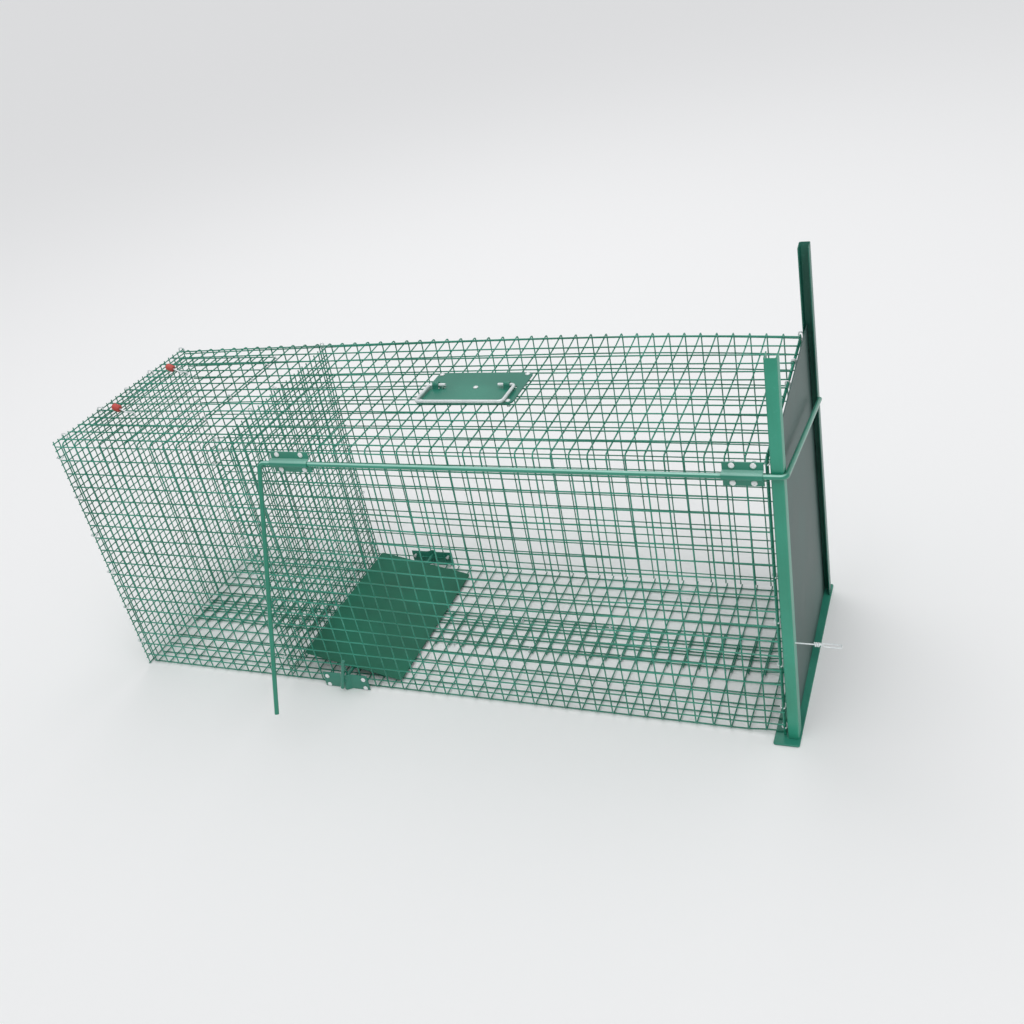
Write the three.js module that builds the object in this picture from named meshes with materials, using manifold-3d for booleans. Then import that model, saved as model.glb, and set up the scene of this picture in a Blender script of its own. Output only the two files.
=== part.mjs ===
// A live animal trap: a welded mesh cage with a drop door in two channels, a treadle on the floor,
// a release rod along one side, a bait hatch with two hooks and a folding carry bail.
// Millimetres. X runs from the closed rear end to the door, Y from the rod side to the far side, Z up.
// The origin is the middle of the sill's underside, below the door.
import * as THREE from "three";
import { mergeVertices } from "three/addons/utils/BufferGeometryUtils.js";
import Module from "manifold-3d";

const wasm = await Module();
wasm.setup();

// Fits and cuts
const gap = 0.3; // between pieces that touch on the real trap
const overrun = 8; // how far a cutter runs past the face it cuts
const weldTolerance = 0.0001; // vertices closer than this are one

// Welded mesh: long wires outside, cross wires inside, welded together at the corners
const pitch = 25.4;
const wire = 2.2;
const weldInset = 0.3; // how far a weld stays inside the outline of the wires it joins
const cellsLong = 45;
const cellsWide = 14;
const cellsHigh = 18;
const endCells = 2; // the rear panel and the partition have this many cells to one of the others
const partitionCells = 12;

// Bait hatch, counted in the wires of the top panel, and its lid
const hatchRearWire = 1;
const hatchFrontWire = 9;
const hatchNearWire = 2;
const hatchFarWire = 11;
const lidLift = 0.8; // lets the lid's hinge wire turn above the top panel

// Front end: sill plate, two channels, hoop and drop door
const sillSheet = 3;
const sillBehind = 19;
const sillLip = 2;
const sillOverhang = 13;
const postWidth = 16;
const postDepth = 20;
const postSheet = 1.5;
const postTop = 597;
const postOutset = 5;
const postBehindMesh = 2.9;
const hoopWire = 4;
const hoopBend = 10;
const hoopSetback = 1.2;
const doorSheet = 1.5;
const doorHeight = 485;
const doorSideRoom = 1;

// Release rod with its lever and arm
const rodWire = 7;
const rodStandoff = 9.5;
const rodHeight = 440;
const rodBend = 5;
const leverLength = 392;
const armLength = 336;
const leverSwing = THREE.MathUtils.degToRad(22.5);
const armDrop = THREE.MathUtils.degToRad(10.6);
const leverBehindAxle = 23;

// Saddles that hold the rod
const saddleSheet = 1.5;
const saddleHalfHeight = 17;
const saddleFoot = 8;
const saddleRoom = 0.5;
const rearSaddleLength = 65;
const rearSaddlePlace = 53; // from the lever to the saddle's middle
const frontSaddleLength = 52;
const frontSaddlePlace = 30; // from the mesh end to the saddle's middle
const saddleRivetInset = 12.5;
const saddleRivetRise = 12.5;

// Treadle, its axle and crank, and the two brackets
const treadleCell = 16;
const treadleLength = 182;
const treadleSheet = 1.5;
const treadleNearRoom = 22; // from the side mesh's middle plane to the plate
const treadleFarRoom = 28.6;
const axleWire = 6;
const axleRoom = 0.3;
const axleTail = 3;
const crankDown = 13;
const crankUp = 49;
const crankStandoff = 14;
const crankLean = THREE.MathUtils.degToRad(17);
const bracketLength = 85;
const bracketHeight = 30;
const bracketSheet = 1.5;
const foldHalfWidth = 9;
const foldHeight = 6;
const bracketRivetInset = 5; // from the bracket's end to the rivet's middle

// Rivets
const rivetShank = 4;
const rivetHead = 8;
const rivetHeadHeight = 2;
const rivetCrown = 5;
const rivetTail = 6;
const rivetTailHeight = 1.5;
const rivetRoom = 0.3;

// Handle plate and carry bail
const handlePlace = 674; // plate middle, from the rear wire
const handleAside = 8.7; // plate middle, beyond the trap's middle line
const handleLength = 160;
const handleWidth = 100;
const handleSheet = 2;
const handleRivetSpan = 147;
const handleRivetWidth = 87;
const bailWire = 5;
const bailLength = 142;
const bailReach = 55;
const bailRise = 5.1; // wire axis above the plate
const bailEndIn = 27;
const bailBend = 6;
const bailBehind = 4; // bail middle behind the plate's middle
const bridgeLength = 10; // along the wire that the bridge holds
const bridgeSpan = 119; // between the two bridges' middles
const bridgeRoom = 0.3;

// Hatch hooks and their caps
const hookWire = 2.5;
const hookCell = 2;
const hookNearCell = 1.75;
const hookFarCell = 7.75;
const hookEyeRoom = 0.3;
const hookRun = 12;
const hookTail = 22;
const hookClimb = THREE.MathUtils.degToRad(25);
const capDiameter = 12;
const capLength = 15;
const capBore = 9;
const capRound = 4;

// Locking pin
const pinWire = 2;
const pinHeight = 172;
const pinInset = 9; // from the post's outer face
const pinTipRoom = 0.75;
const pinOut = 34;
const pinLoopLength = 27;
const pinLoopWidth = 7;
const pinTurns = 3;
const pinTurnPitch = 3;
const pinTurnRoom = 0.7;
const pinHoleRoom = 0.4;

// Hog rings
const ringWire = 1.8;
const ringRoom = 0.3;
const ringMouth = 1;
const ringBend = 1.2;
const hingeRingCells = [3.25, 6.25, 8.75, 10.75, 11.75];
const rearRingCells = [14, 5];
const rearTopRingCells = [7];
const frontRingCells = [8.15, 5.2, 2.2];
const frontTopRingCells = [7.5, 10];

// Places worked out from the sizes above
const X = new THREE.Vector3(1, 0, 0);
const Y = new THREE.Vector3(0, 1, 0);
const Z = new THREE.Vector3(0, 0, 1);
const half = wire / 2;
const panelDepth = 2 * wire + gap;
const halfDepth = panelDepth / 2;
const length = cellsLong * pitch;
const width = cellsWide * pitch;
const height = cellsHigh * pitch;
const midY = width / 2;
const postRear = length + half + postBehindMesh;
const postFront = postRear + postWidth;
const sillRear = postRear - sillBehind;
const sillFront = postFront + sillLip;
const sillNear = -postOutset - sillOverhang;
const floorEnd = sillRear - gap;
const floorTop = panelDepth;
const topUnder = height + half + gap;
const topUpper = topUnder + panelDepth;
const lidUnder = topUpper + lidLift;
const lidHinge = lidUnder + half;
const baseZ = sillSheet + gap;
const facing = halfDepth + gap; // from a side panel's middle plane to what lies on it
const doorMiddle = (postRear + postFront) / 2;
const treadleX = (treadleCell + 1 / 2) * pitch;
const treadleZ = pitch - half - gap - axleWire / 2;
const rodX = treadleX - leverBehindAxle;
const bailX = handlePlace - bailBehind;
const handleY = midY + handleAside;
const armX = postFront + gap + rodWire / 2;
const rivetReach = half + gap + rivetShank / 2; // from a wire's middle to a shank beside it

// Colours
const green = 0x237d64;
const darkGreen = 0x1e735f;
const sheetGreen = 0x55706a;
const zinc = 0xc4c9c8;
const aluminium = 0xdfe3e2;
const red = 0xbe504b;

function paint(color, roughness, metalness) {
  return new THREE.MeshStandardMaterial({ color, roughness, metalness });
}

// A closed geometry as a solid that can be joined and cut.
function solidOf(geometry) {
  const bare = geometry.clone();
  bare.deleteAttribute("normal");
  bare.deleteAttribute("uv");
  const merged = mergeVertices(bare, weldTolerance);
  const triVerts = new Uint32Array(merged.index.array);
  const vertProperties = new Float32Array(merged.attributes.position.array);
  return new wasm.Manifold(new wasm.Mesh({ numProp: 3, vertProperties, triVerts }));
}

function geometryOf(solid) {
  const { vertProperties, triVerts } = solid.getMesh();
  const geometry = new THREE.BufferGeometry();
  geometry.setAttribute("position", new THREE.BufferAttribute(vertProperties, 3));
  geometry.setIndex(new THREE.BufferAttribute(triVerts, 1));
  geometry.computeVertexNormals();
  return geometry;
}

function join(geometries) {
  return geometryOf(geometries.map(solidOf).reduce((all, one) => all.add(one)));
}

function cut(geometry, cutters) {
  return geometryOf(cutters.map(solidOf).reduce((left, one) => left.subtract(one), solidOf(geometry)));
}

// A box between two corners.
function block(low, high) {
  const size = new THREE.Vector3().subVectors(high, low);
  const middle = new THREE.Vector3().addVectors(low, high).multiplyScalar(1 / 2);
  return new THREE.BoxGeometry(size.x, size.y, size.z).translate(middle.x, middle.y, middle.z);
}

function at(x, y, z) {
  return new THREE.Vector3(x, y, z);
}

// A route given by its points, with a station at each one and none between.
class Route extends THREE.Curve {
  constructor(points) {
    super();
    this.points = points;
  }
  getPoint(share, target = new THREE.Vector3()) {
    return target.copy(this.points[Math.round(share * (this.points.length - 1))]);
  }
  getPointAt(share, target) {
    return this.getPoint(share, target);
  }
  getTangentAt(share, target = new THREE.Vector3()) {
    const last = this.points.length - 1;
    const index = Math.round(share * last);
    const here = this.points[index];
    const back = this.points[Math.max(index - 1, 0)];
    const ahead = this.points[Math.min(index + 1, last)];
    const arriving = new THREE.Vector3().subVectors(here, back).normalize();
    const leaving = new THREE.Vector3().subVectors(ahead, here).normalize();
    return target.addVectors(arriving, leaving).normalize();
  }
}

// The corners of a bent wire with each inner corner rounded to a bend radius.
function bentPoints(corners, bend, steps) {
  const points = [corners[0]];
  for (let i = 1; i < corners.length - 1; i++) {
    const arriving = new THREE.Vector3().subVectors(corners[i], corners[i - 1]).normalize();
    const leaving = new THREE.Vector3().subVectors(corners[i + 1], corners[i]).normalize();
    const turn = arriving.angleTo(leaving);
    const setback = bend * Math.tan(turn / 2);
    const start = corners[i].clone().addScaledVector(arriving, -setback);
    const inward = leaving.clone().addScaledVector(arriving, -leaving.dot(arriving)).normalize();
    for (let k = 0; k <= steps; k++) {
      const angle = (turn * k) / steps;
      const point = start.clone().addScaledVector(arriving, bend * Math.sin(angle));
      points.push(point.addScaledVector(inward, bend * (1 - Math.cos(angle))));
    }
  }
  points.push(corners[corners.length - 1]);
  return points;
}

function roundWire(points, diameter, sides) {
  const section = new THREE.Shape();
  for (let i = 0; i < sides; i++) {
    const angle = (2 * Math.PI * i) / sides;
    const x = (diameter / 2) * Math.cos(angle);
    const y = (diameter / 2) * Math.sin(angle);
    if (i === 0) section.moveTo(x, y);
    else section.lineTo(x, y);
  }
  section.closePath();
  const extrudePath = new Route(points);
  return new THREE.ExtrudeGeometry(section, { steps: points.length - 1, extrudePath });
}

// A round cutter along Y or another axis, whose flats touch the given radius.
function drill(axis, middle, radius, reach) {
  const sides = 8;
  const outer = radius / Math.cos(Math.PI / sides);
  const from = middle.clone().addScaledVector(axis, -reach);
  const to = middle.clone().addScaledVector(axis, reach);
  return roundWire([from, to], 2 * outer, sides);
}

// The corners of an outline, without points that repeat or lie on a straight run.
function cornersOf(outline) {
  return outline.filter(([x, y], i) => {
    const [x0, y0] = outline[(i + outline.length - 1) % outline.length];
    const [x1, y1] = outline[(i + 1) % outline.length];
    return Math.abs((x - x0) * (y1 - y) - (y - y0) * (x1 - x)) > weldTolerance * weldTolerance;
  });
}

// Parallel wires in one layer that leave one side of the wire that carries them.
// The carrier lies from a0 to a1 at the place b, and each tooth is [place, end].
function comb(a0, a1, b, teeth) {
  const side = Math.sign(teeth[0][1] - b);
  const outline = [
    [a0, b - side * half],
    [a1, b - side * half],
    [a1, b + side * half],
  ];
  for (const [place, end] of [...teeth].sort((one, other) => other[0] - one[0])) {
    outline.push([place + half, b + side * half], [place + half, end], [place - half, end]);
    outline.push([place - half, b + side * half]);
  }
  outline.push([a0, b + side * half]);
  return cornersOf(outline);
}

// A flat welded panel in X and Y. Outer combs have teeth along X and inner ones along Y.
// side is 1 where the outer layer lies towards +Z and -1 where it lies towards -Z.
function panel(outer, inner, welds, side, loose = []) {
  const innerLow = side > 0 ? -halfDepth : gap / 2;
  const layer = (points, low) => {
    const shape = new THREE.Shape(points.map(([x, y]) => new THREE.Vector2(x, y)));
    return new THREE.ExtrudeGeometry(shape, { depth: wire, bevelEnabled: false }).translate(0, 0, low);
  };
  const outerCombs = outer.map((points) => layer(points.map(([y, x]) => [x, y]), -innerLow - wire));
  const innerCombs = inner.map((points) => layer(points, innerLow));
  const looseWires = loose.map(([x, y0, y1]) =>
    block(at(x - half, y0, innerLow), at(x + half, y1, innerLow + wire)),
  );
  const reach = half - weldInset;
  const depth = gap / 2 + half;
  const joints = welds.map(([x, y]) =>
    block(at(x - reach, y - reach, -depth), at(x + reach, y + reach, depth)),
  );
  return join([...outerCombs, ...innerCombs, ...looseWires, ...joints]);
}

// The places of the wires from one count to another, a step apart.
function wires(first, last, offset, step = pitch) {
  return Array.from({ length: last - first + 1 }, (_, i) => (first + i) * step + offset);
}

const trap = new THREE.Group();
trap.position.set(-(sillRear + sillFront) / 2, -midY, 0);

function add(name, geometry, material, parent = trap) {
  const mesh = new THREE.Mesh(geometry, material);
  mesh.name = name;
  parent.add(mesh);
  return mesh;
}

// Turns a panel drawn in X and Y into a standing one: along the trap, or across it.
function standAlong(mesh, y) {
  mesh.quaternion.setFromRotationMatrix(new THREE.Matrix4().makeBasis(X, Z, Y.clone().negate()));
  mesh.position.y = y;
}

function standAcross(mesh, x) {
  mesh.quaternion.setFromRotationMatrix(new THREE.Matrix4().makeBasis(Y, Z, X));
  mesh.position.x = x;
}

const meshPaint = () => paint(green, 0.45, 0.1);

function sidePanel(side) {
  const outer = comb(0, height + half, 0, wires(1, cellsHigh, 0).map((z) => [z, length + half]));
  const inner = comb(-half, floorEnd, half, wires(1, cellsLong - 1, 0).map((x) => [x, height + half]));
  const front = [length, baseZ, height + half];
  return panel([outer], [inner], [[0, half], [length, height]], side, [front]);
}

function addSides() {
  standAlong(add("near_side_mesh", sidePanel(1), meshPaint()), 0);
  standAlong(add("far_side_mesh", sidePanel(-1), meshPaint()), width);
}

const phase = pitch / 2; // the top and floor wires lie half a cell off the side wires
const hatchRear = hatchRearWire * pitch + phase;
const hatchFront = hatchFrontWire * pitch + phase;
const hatchNear = hatchNearWire * pitch + phase;
const hatchFar = hatchFarWire * pitch + phase;

function addTop() {
  const near = -halfDepth + half;
  const far = width + halfDepth - half;
  const stop = half + gap; // a wire that isn't carried at this end stops short of the edge wire
  const rearTeeth = [];
  const frontTeeth = [];
  for (const y of wires(0, cellsWide - 1, phase)) {
    const crossesHatch = y > hatchNear + half && y < hatchFar - half;
    rearTeeth.push([y, crossesHatch ? hatchRear + half : length - stop]);
    if (crossesHatch) frontTeeth.push([y, hatchFront - half]);
  }
  const nearTeeth = [];
  const farTeeth = [];
  for (const x of wires(0, cellsLong - 1, phase)) {
    const crossesHatch = x > hatchRear + half && x < hatchFront - half;
    nearTeeth.push([x, crossesHatch ? hatchNear + half : far - stop]);
    if (crossesHatch) farTeeth.push([x, hatchFar - half]);
  }
  const rear = comb(near - half, far + half, 0, rearTeeth);
  const front = comb(near - half, far + half, length, frontTeeth);
  const outer = [rear, front];
  const inner = [comb(-half, length + half, near, nearTeeth), comb(-half, length + half, far, farTeeth)];
  const welds = [[0, near], [0, far], [length, near], [length, far]];
  add("top_mesh", panel(outer, inner, welds, 1), meshPaint()).position.z = topUnder + halfDepth;
}

function addFloor() {
  const near = facing + rivetTailHeight + gap + half;
  const far = width - near;
  const rear = 2 * half + gap;
  const outer = comb(near - half, far + half, rear, wires(1, cellsWide - 1, 0).map((y) => [y, floorEnd]));
  const inner = comb(rear - half, floorEnd, near, wires(1, cellsLong - 2, phase).map((x) => [x, far + half]));
  const floor = add("floor_mesh", panel([outer], [inner], [[rear, near]], -1), meshPaint());
  floor.position.z = halfDepth;
}

function addEnds() {
  const near = -halfDepth + half;
  const far = width + halfDepth;
  const levels = wires(1, cellsHigh * endCells, 0, pitch / endCells);
  const uprights = wires(1, cellsWide * endCells, 0, pitch / endCells);
  const rearOuter = comb(0, topUpper, near, levels.map((z) => [z, far]));
  const rearInner = comb(near - half, far, half, uprights.map((y) => [y, topUpper]));
  const rear = add("rear_mesh", acrossPanel(rearOuter, rearInner, near, half), meshPaint());
  standAcross(rear, -half - gap - halfDepth);

  const bottom = floorTop + gap + half;
  const start = facing + half;
  const end = width - facing;
  const between = uprights.filter((y) => y < end);
  const outer = comb(bottom - half, height + half, start, levels.map((z) => [z, end]));
  const inner = comb(start - half, end, bottom, between.map((y) => [y, height + half]));
  const partition = add("partition_mesh", acrossPanel(outer, inner, start, bottom), meshPaint());
  standAcross(partition, partitionCells * pitch);
}

// A panel across the cage, whose level wires lie to the rear.
function acrossPanel(outer, inner, x, y) {
  return panel([outer], [inner], [[x, y]], -1);
}

// The lid turns on its front wire inside the rings, so it is drawn about that wire.
const lidNear = hatchNear - phase;
const lidFar = hatchFar + phase;

function addLid(parent) {
  const cells = Math.round((lidFar - lidNear) / pitch);
  const rows = wires(1, cells, lidNear).map((y) => [y, hatchFront + half]);
  const columns = wires(hatchRearWire + 1, hatchFrontWire, phase).map((x) => [x, lidFar + half]);
  const outer = comb(lidNear - half, lidFar + half, hatchRear, rows);
  const inner = comb(hatchRear - half, hatchFront + half, lidNear, columns);
  const lid = add("hatch_lid_mesh", panel([outer], [inner], [[hatchRear, lidNear]], 1), meshPaint(), parent);
  lid.position.z = lidUnder + halfDepth;
}

// A place along the mesh, moved off the nearest wire far enough for a rivet's shank.
function besideWires(place, offset) {
  const nearest = offset + Math.round((place - offset) / pitch) * pitch;
  const off = place - nearest;
  if (Math.abs(off) >= rivetReach) return place;
  return nearest + (off < 0 ? -rivetReach : rivetReach);
}

// A rivet along Z: the head's seat at zero, the tail below the grip.
function rivet(grip) {
  const profile = [
    [0, -grip - rivetTailHeight],
    [rivetTail / 2, -grip - rivetTailHeight],
    [rivetTail / 2, -grip],
    [rivetShank / 2, -grip],
    [rivetShank / 2, 0],
    [rivetHead / 2, 0],
    [rivetCrown / 2, rivetHeadHeight],
    [0, rivetHeadHeight],
  ];
  const points = profile.map(([r, z]) => new THREE.Vector2(r, z));
  return new THREE.LatheGeometry(points, 8).rotateX(Math.PI / 2);
}

function addRivets(name, places, grip, outward) {
  places.forEach((place, i) => {
    const mesh = add(`${name}_rivet_${i + 1}`, rivet(grip), paint(aluminium, 0.3, 0.8));
    mesh.quaternion.setFromUnitVectors(Z, outward);
    mesh.position.copy(place);
  });
}

function rivetHoles(places, axis) {
  return places.map((place) => drill(axis, place, rivetShank / 2 + rivetRoom, overrun));
}

// A strap folded over the rod, with a flange above and below.
function saddle(length) {
  const flangeIn = facing;
  const flangeOut = flangeIn + saddleSheet;
  const ridgeIn = rodStandoff + rodWire / 2 + saddleRoom;
  const ridgeOut = ridgeIn + saddleSheet;
  const ridgeHalf = rodWire / 2 + saddleRoom;
  const outline = [
    [flangeIn, saddleHalfHeight],
    [flangeIn, saddleFoot - saddleSheet / 2],
    [ridgeIn, ridgeHalf - saddleSheet / 2],
    [ridgeIn, -ridgeHalf + saddleSheet / 2],
    [flangeIn, -saddleFoot + saddleSheet / 2],
    [flangeIn, -saddleHalfHeight],
    [flangeOut, -saddleHalfHeight],
    [flangeOut, -saddleFoot - saddleSheet / 2],
    [ridgeOut, -ridgeHalf],
    [ridgeOut, ridgeHalf],
    [flangeOut, saddleFoot + saddleSheet / 2],
    [flangeOut, saddleHalfHeight],
  ];
  const shape = new THREE.Shape(outline.map(([y, z]) => new THREE.Vector2(-y, z)));
  const bar = new THREE.ExtrudeGeometry(shape, { depth: length, bevelEnabled: false });
  const turn = new THREE.Matrix4().makeBasis(Y, Z, X);
  return bar.applyMatrix4(turn).translate(-length / 2, 0, 0);
}

function addSaddles() {
  const grip = saddleSheet + gap + panelDepth + 2 * gap;
  const seat = facing + saddleSheet + gap;
  const saddles = [
    ["rear_rod_saddle", rodX + rearSaddlePlace, rearSaddleLength],
    ["front_rod_saddle", length - frontSaddlePlace, frontSaddleLength],
  ];
  for (const [name, x, long] of saddles) {
    const reach = long / 2 - saddleRivetInset;
    const places = [];
    for (const along of [-reach, reach]) {
      for (const rise of [-saddleRivetRise, saddleRivetRise]) {
        places.push(at(besideWires(x + along, 0), -seat, rodHeight + rise));
      }
    }
    const body = saddle(long).translate(x, 0, rodHeight);
    add(name, cut(body, rivetHoles(places, Y)), paint(green, 0.4, 0.1));
    addRivets(name, places, grip, Y.clone().negate());
  }
}

function addRod(parent) {
  const lever = at(0, -Math.sin(leverSwing), -Math.cos(leverSwing));
  const arm = at(0, Math.cos(armDrop), -Math.sin(armDrop));
  const rear = at(rodX, -rodStandoff, rodHeight);
  const front = at(armX, -rodStandoff, rodHeight);
  const corners = [
    rear.clone().addScaledVector(lever, leverLength),
    rear,
    front,
    front.clone().addScaledVector(arm, armLength),
  ];
  add("release_rod", roundWire(bentPoints(corners, rodBend, 4), rodWire, 8), paint(green, 0.4, 0.1), parent);
}

// The front edge of the tilted treadle rests on the floor mesh.
const treadleLift = axleWire / 2 + gap;
const treadleHalf = treadleLength / 2;
const treadleCorner = Math.hypot(treadleHalf, treadleLift);
const treadleDrop = treadleZ - floorTop - gap;
const treadleTilt = Math.atan2(treadleLift, treadleHalf) + Math.asin(treadleDrop / treadleCorner);

function addTreadle(parent) {
  const plate = block(
    at(-treadleHalf, treadleNearRoom, treadleLift),
    at(treadleHalf, width - treadleFarRoom, treadleLift + treadleSheet),
  );
  const mesh = add("treadle_plate", plate, paint(darkGreen, 0.5, 0.1), parent);
  mesh.rotation.y = treadleTilt;
  mesh.position.set(treadleX, 0, treadleZ);

  const farEnd = width + facing + bracketSheet + foldHeight + axleTail;
  const axle = roundWire([at(0, -crankStandoff, 0), at(0, farEnd, 0)], axleWire, 8);
  const along = at(Math.sin(crankLean), 0, Math.cos(crankLean));
  const low = at(0, -crankStandoff, 0).addScaledVector(along, -crankDown);
  const high = at(0, -crankStandoff, 0).addScaledVector(along, crankUp);
  const crank = roundWire([low, high], axleWire, 8);
  const shaft = add("treadle_axle", join([axle, crank]), paint(green, 0.4, 0.1), parent);
  shaft.position.set(treadleX, 0, treadleZ);
}

// A bracket with a vertical fold that stands off the mesh, and the axle's hole through the fold.
function treadleBracket(side) {
  const inner = facing;
  const outer = facing + bracketSheet;
  const end = bracketLength / 2;
  const outline = [
    [-end, inner],
    [-foldHalfWidth, inner],
    [0, inner + foldHeight],
    [foldHalfWidth, inner],
    [end, inner],
    [end, outer],
    [foldHalfWidth, outer],
    [0, outer + foldHeight],
    [-foldHalfWidth, outer],
    [-end, outer],
  ];
  const shape = new THREE.Shape(outline.map(([x, y]) => new THREE.Vector2(x, side * y)));
  const body = new THREE.ExtrudeGeometry(shape, { depth: bracketHeight - gap, bevelEnabled: false });
  return body.translate(0, 0, gap);
}

function addTreadleBrackets() {
  const grip = bracketSheet + gap + panelDepth + 2 * gap;
  const seat = facing + bracketSheet + gap;
  const lowRivet = wire + gap + rivetShank / 2;
  const highRivet = pitch - rivetReach;
  for (const [name, y, side] of [
    ["near_treadle_bracket", 0, -1],
    ["far_treadle_bracket", width, 1],
  ]) {
    const reach = bracketLength / 2 - bracketRivetInset;
    const places = [];
    for (const along of [-reach, reach]) {
      for (const z of [lowRivet, highRivet]) {
        places.push(at(besideWires(treadleX + along, 0), y + side * seat, z));
      }
    }
    const body = treadleBracket(side).translate(treadleX, y, 0);
    const hole = at(treadleX, y + side * seat, treadleZ);
    const axle = drill(Y, hole, axleWire / 2 + axleRoom, overrun + foldHeight);
    add(name, cut(body, [...rivetHoles(places, Y), axle]), paint(green, 0.4, 0.1));
    addRivets(name, places, grip, at(0, side, 0));
  }
}

// A strap over the bail's wire, pressed up out of the plate: two legs and a round top.
function bridge(under, axisZ) {
  const inner = bailWire / 2 + bridgeRoom;
  const outer = inner + handleSheet;
  const steps = 6;
  const grow = 1 / Math.cos(Math.PI / (2 * steps));
  const over = (radius) =>
    Array.from({ length: steps + 1 }, (_, i) => {
      const angle = (Math.PI * i) / steps;
      return [radius * Math.cos(angle), axisZ + radius * grow * Math.sin(angle)];
    });
  const outline = [[outer, under], ...over(outer), [-outer, under], [-inner, under]];
  outline.push(...over(inner).reverse(), [inner, under]);
  const shape = new THREE.Shape(outline.map(([y, z]) => new THREE.Vector2(y, z)));
  const body = new THREE.ExtrudeGeometry(shape, { depth: bridgeLength, bevelEnabled: false });
  return body.applyMatrix4(new THREE.Matrix4().makeBasis(Y, Z, X)).translate(-bridgeLength / 2, handleY, 0);
}

function addHandle() {
  const under = topUpper + gap;
  const top = under + handleSheet;
  const axisZ = top + bailRise;
  const plate = block(
    at(handlePlace - handleLength / 2, handleY - handleWidth / 2, under),
    at(handlePlace + handleLength / 2, handleY + handleWidth / 2, top),
  );
  const middles = [-bridgeSpan / 2, bridgeSpan / 2].map((x) => bailX + x);
  const bridges = middles.map((x) => bridge(under, axisZ).translate(x, 0, 0));
  const inner = bailWire / 2 + bridgeRoom;
  const windows = middles.map((x) =>
    block(
      at(x - bridgeLength / 2, handleY - inner, under - overrun),
      at(x + bridgeLength / 2, handleY + inner, axisZ),
    ),
  );
  const places = [[0, 0]];
  for (const x of [-handleRivetSpan / 2, handleRivetSpan / 2]) {
    for (const y of [-handleRivetWidth / 2, handleRivetWidth / 2]) places.push([x, y]);
  }
  const seats = places.map(([x, y]) =>
    at(besideWires(handlePlace + x, phase), besideWires(handleY + y, phase), top + gap),
  );
  const body = cut(join([plate, ...bridges]), [...rivetHoles(seats, Z), ...windows]);
  add("handle_plate", body, paint(green, 0.4, 0.1));
  addRivets("handle_plate", seats, handleSheet + panelDepth + gap * 3, Z);
  return at(bailX, handleY, axisZ);
}

function addBail(parent, axis) {
  const side = bailLength / 2;
  const corners = [
    at(-side + bailEndIn, 0, 0),
    at(-side, 0, 0),
    at(-side, -bailReach, 0),
    at(side, -bailReach, 0),
    at(side, 0, 0),
    at(side - bailEndIn, 0, 0),
  ];
  const wireForm = roundWire(bentPoints(corners, bailBend, 3), bailWire, 8);
  const bail = add("carry_bail", wireForm, paint(zinc, 0.35, 0.7), parent);
  bail.position.copy(axis);
}

// A channel on end, open towards the middle of the doorway.
function post(side) {
  const web = 0;
  const lip = postDepth;
  const outline = [
    [0, web],
    [postWidth, web],
    [postWidth, lip],
    [postWidth - postSheet, lip],
    [postWidth - postSheet, postSheet],
    [postSheet, postSheet],
    [postSheet, lip],
    [0, lip],
  ];
  const shape = new THREE.Shape(outline.map(([x, y]) => new THREE.Vector2(x, side * y)));
  const body = new THREE.ExtrudeGeometry(shape, { depth: postTop - baseZ, bevelEnabled: false });
  return body.translate(postRear, 0, baseZ);
}

const pinY = -postOutset + pinInset;

function addFrontEnd() {
  const sill = block(at(sillRear, sillNear, 0), at(sillFront, width - sillNear, sillSheet));
  add("sill_plate", sill, paint(green, 0.45, 0.1));

  const flange = at(postFront - postSheet / 2, pinY, pinHeight);
  const hole = drill(X, flange, pinWire / 2 + pinHoleRoom, postSheet * 2);
  const nearPost = cut(post(1).translate(0, -postOutset, 0), [hole]);
  add("near_door_post", nearPost, paint(green, 0.4, 0.1));
  add("far_door_post", post(-1).translate(0, width + postOutset, 0), paint(darkGreen, 0.5, 0.1));

  const inset = facing + hoopWire / 2;
  const crown = topUnder - gap - hoopWire / 2;
  const corners = [
    at(0, inset, baseZ),
    at(0, inset, crown),
    at(0, width - inset, crown),
    at(0, width - inset, baseZ),
  ];
  const hoop = roundWire(bentPoints(corners, hoopBend, 3), hoopWire, 8);
  add("front_hoop", hoop, paint(green, 0.4, 0.1)).position.x = length - hoopSetback;
}

function addDoor(parent) {
  const edge = -postOutset + postSheet + doorSideRoom;
  const sheet = block(
    at(doorMiddle - doorSheet / 2, edge, baseZ),
    at(doorMiddle + doorSheet / 2, width - edge, baseZ + doorHeight),
  );
  add("drop_door", sheet, paint(sheetGreen, 0.5, 0.2), parent);
}

// A wire pin: a straight shank, a long loop, and the wire's end wound round the shank.
function pinPoints() {
  const coil = pinWire + pinTurnRoom;
  const start = doorMiddle + doorSheet / 2 + pinTipRoom;
  const neck = postFront + pinOut;
  const corners = [
    at(start, 0, 0),
    at(neck, 0, 0),
    at(neck + pinLoopWidth, -pinLoopWidth / 2, 0),
    at(neck + pinLoopLength, -pinLoopWidth / 2, 0),
    at(neck + pinLoopLength, pinLoopWidth / 2, 0),
    at(neck + pinLoopWidth, pinLoopWidth / 2, 0),
  ];
  const points = bentPoints(corners, pinWire, 2);
  const turnSteps = 8;
  for (let i = 0; i <= pinTurns * turnSteps; i++) {
    const angle = (2 * Math.PI * i) / turnSteps;
    const back = (pinTurnPitch * i) / turnSteps;
    points.push(at(neck - back, coil * Math.cos(angle), coil * Math.sin(angle)));
  }
  return points;
}

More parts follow.
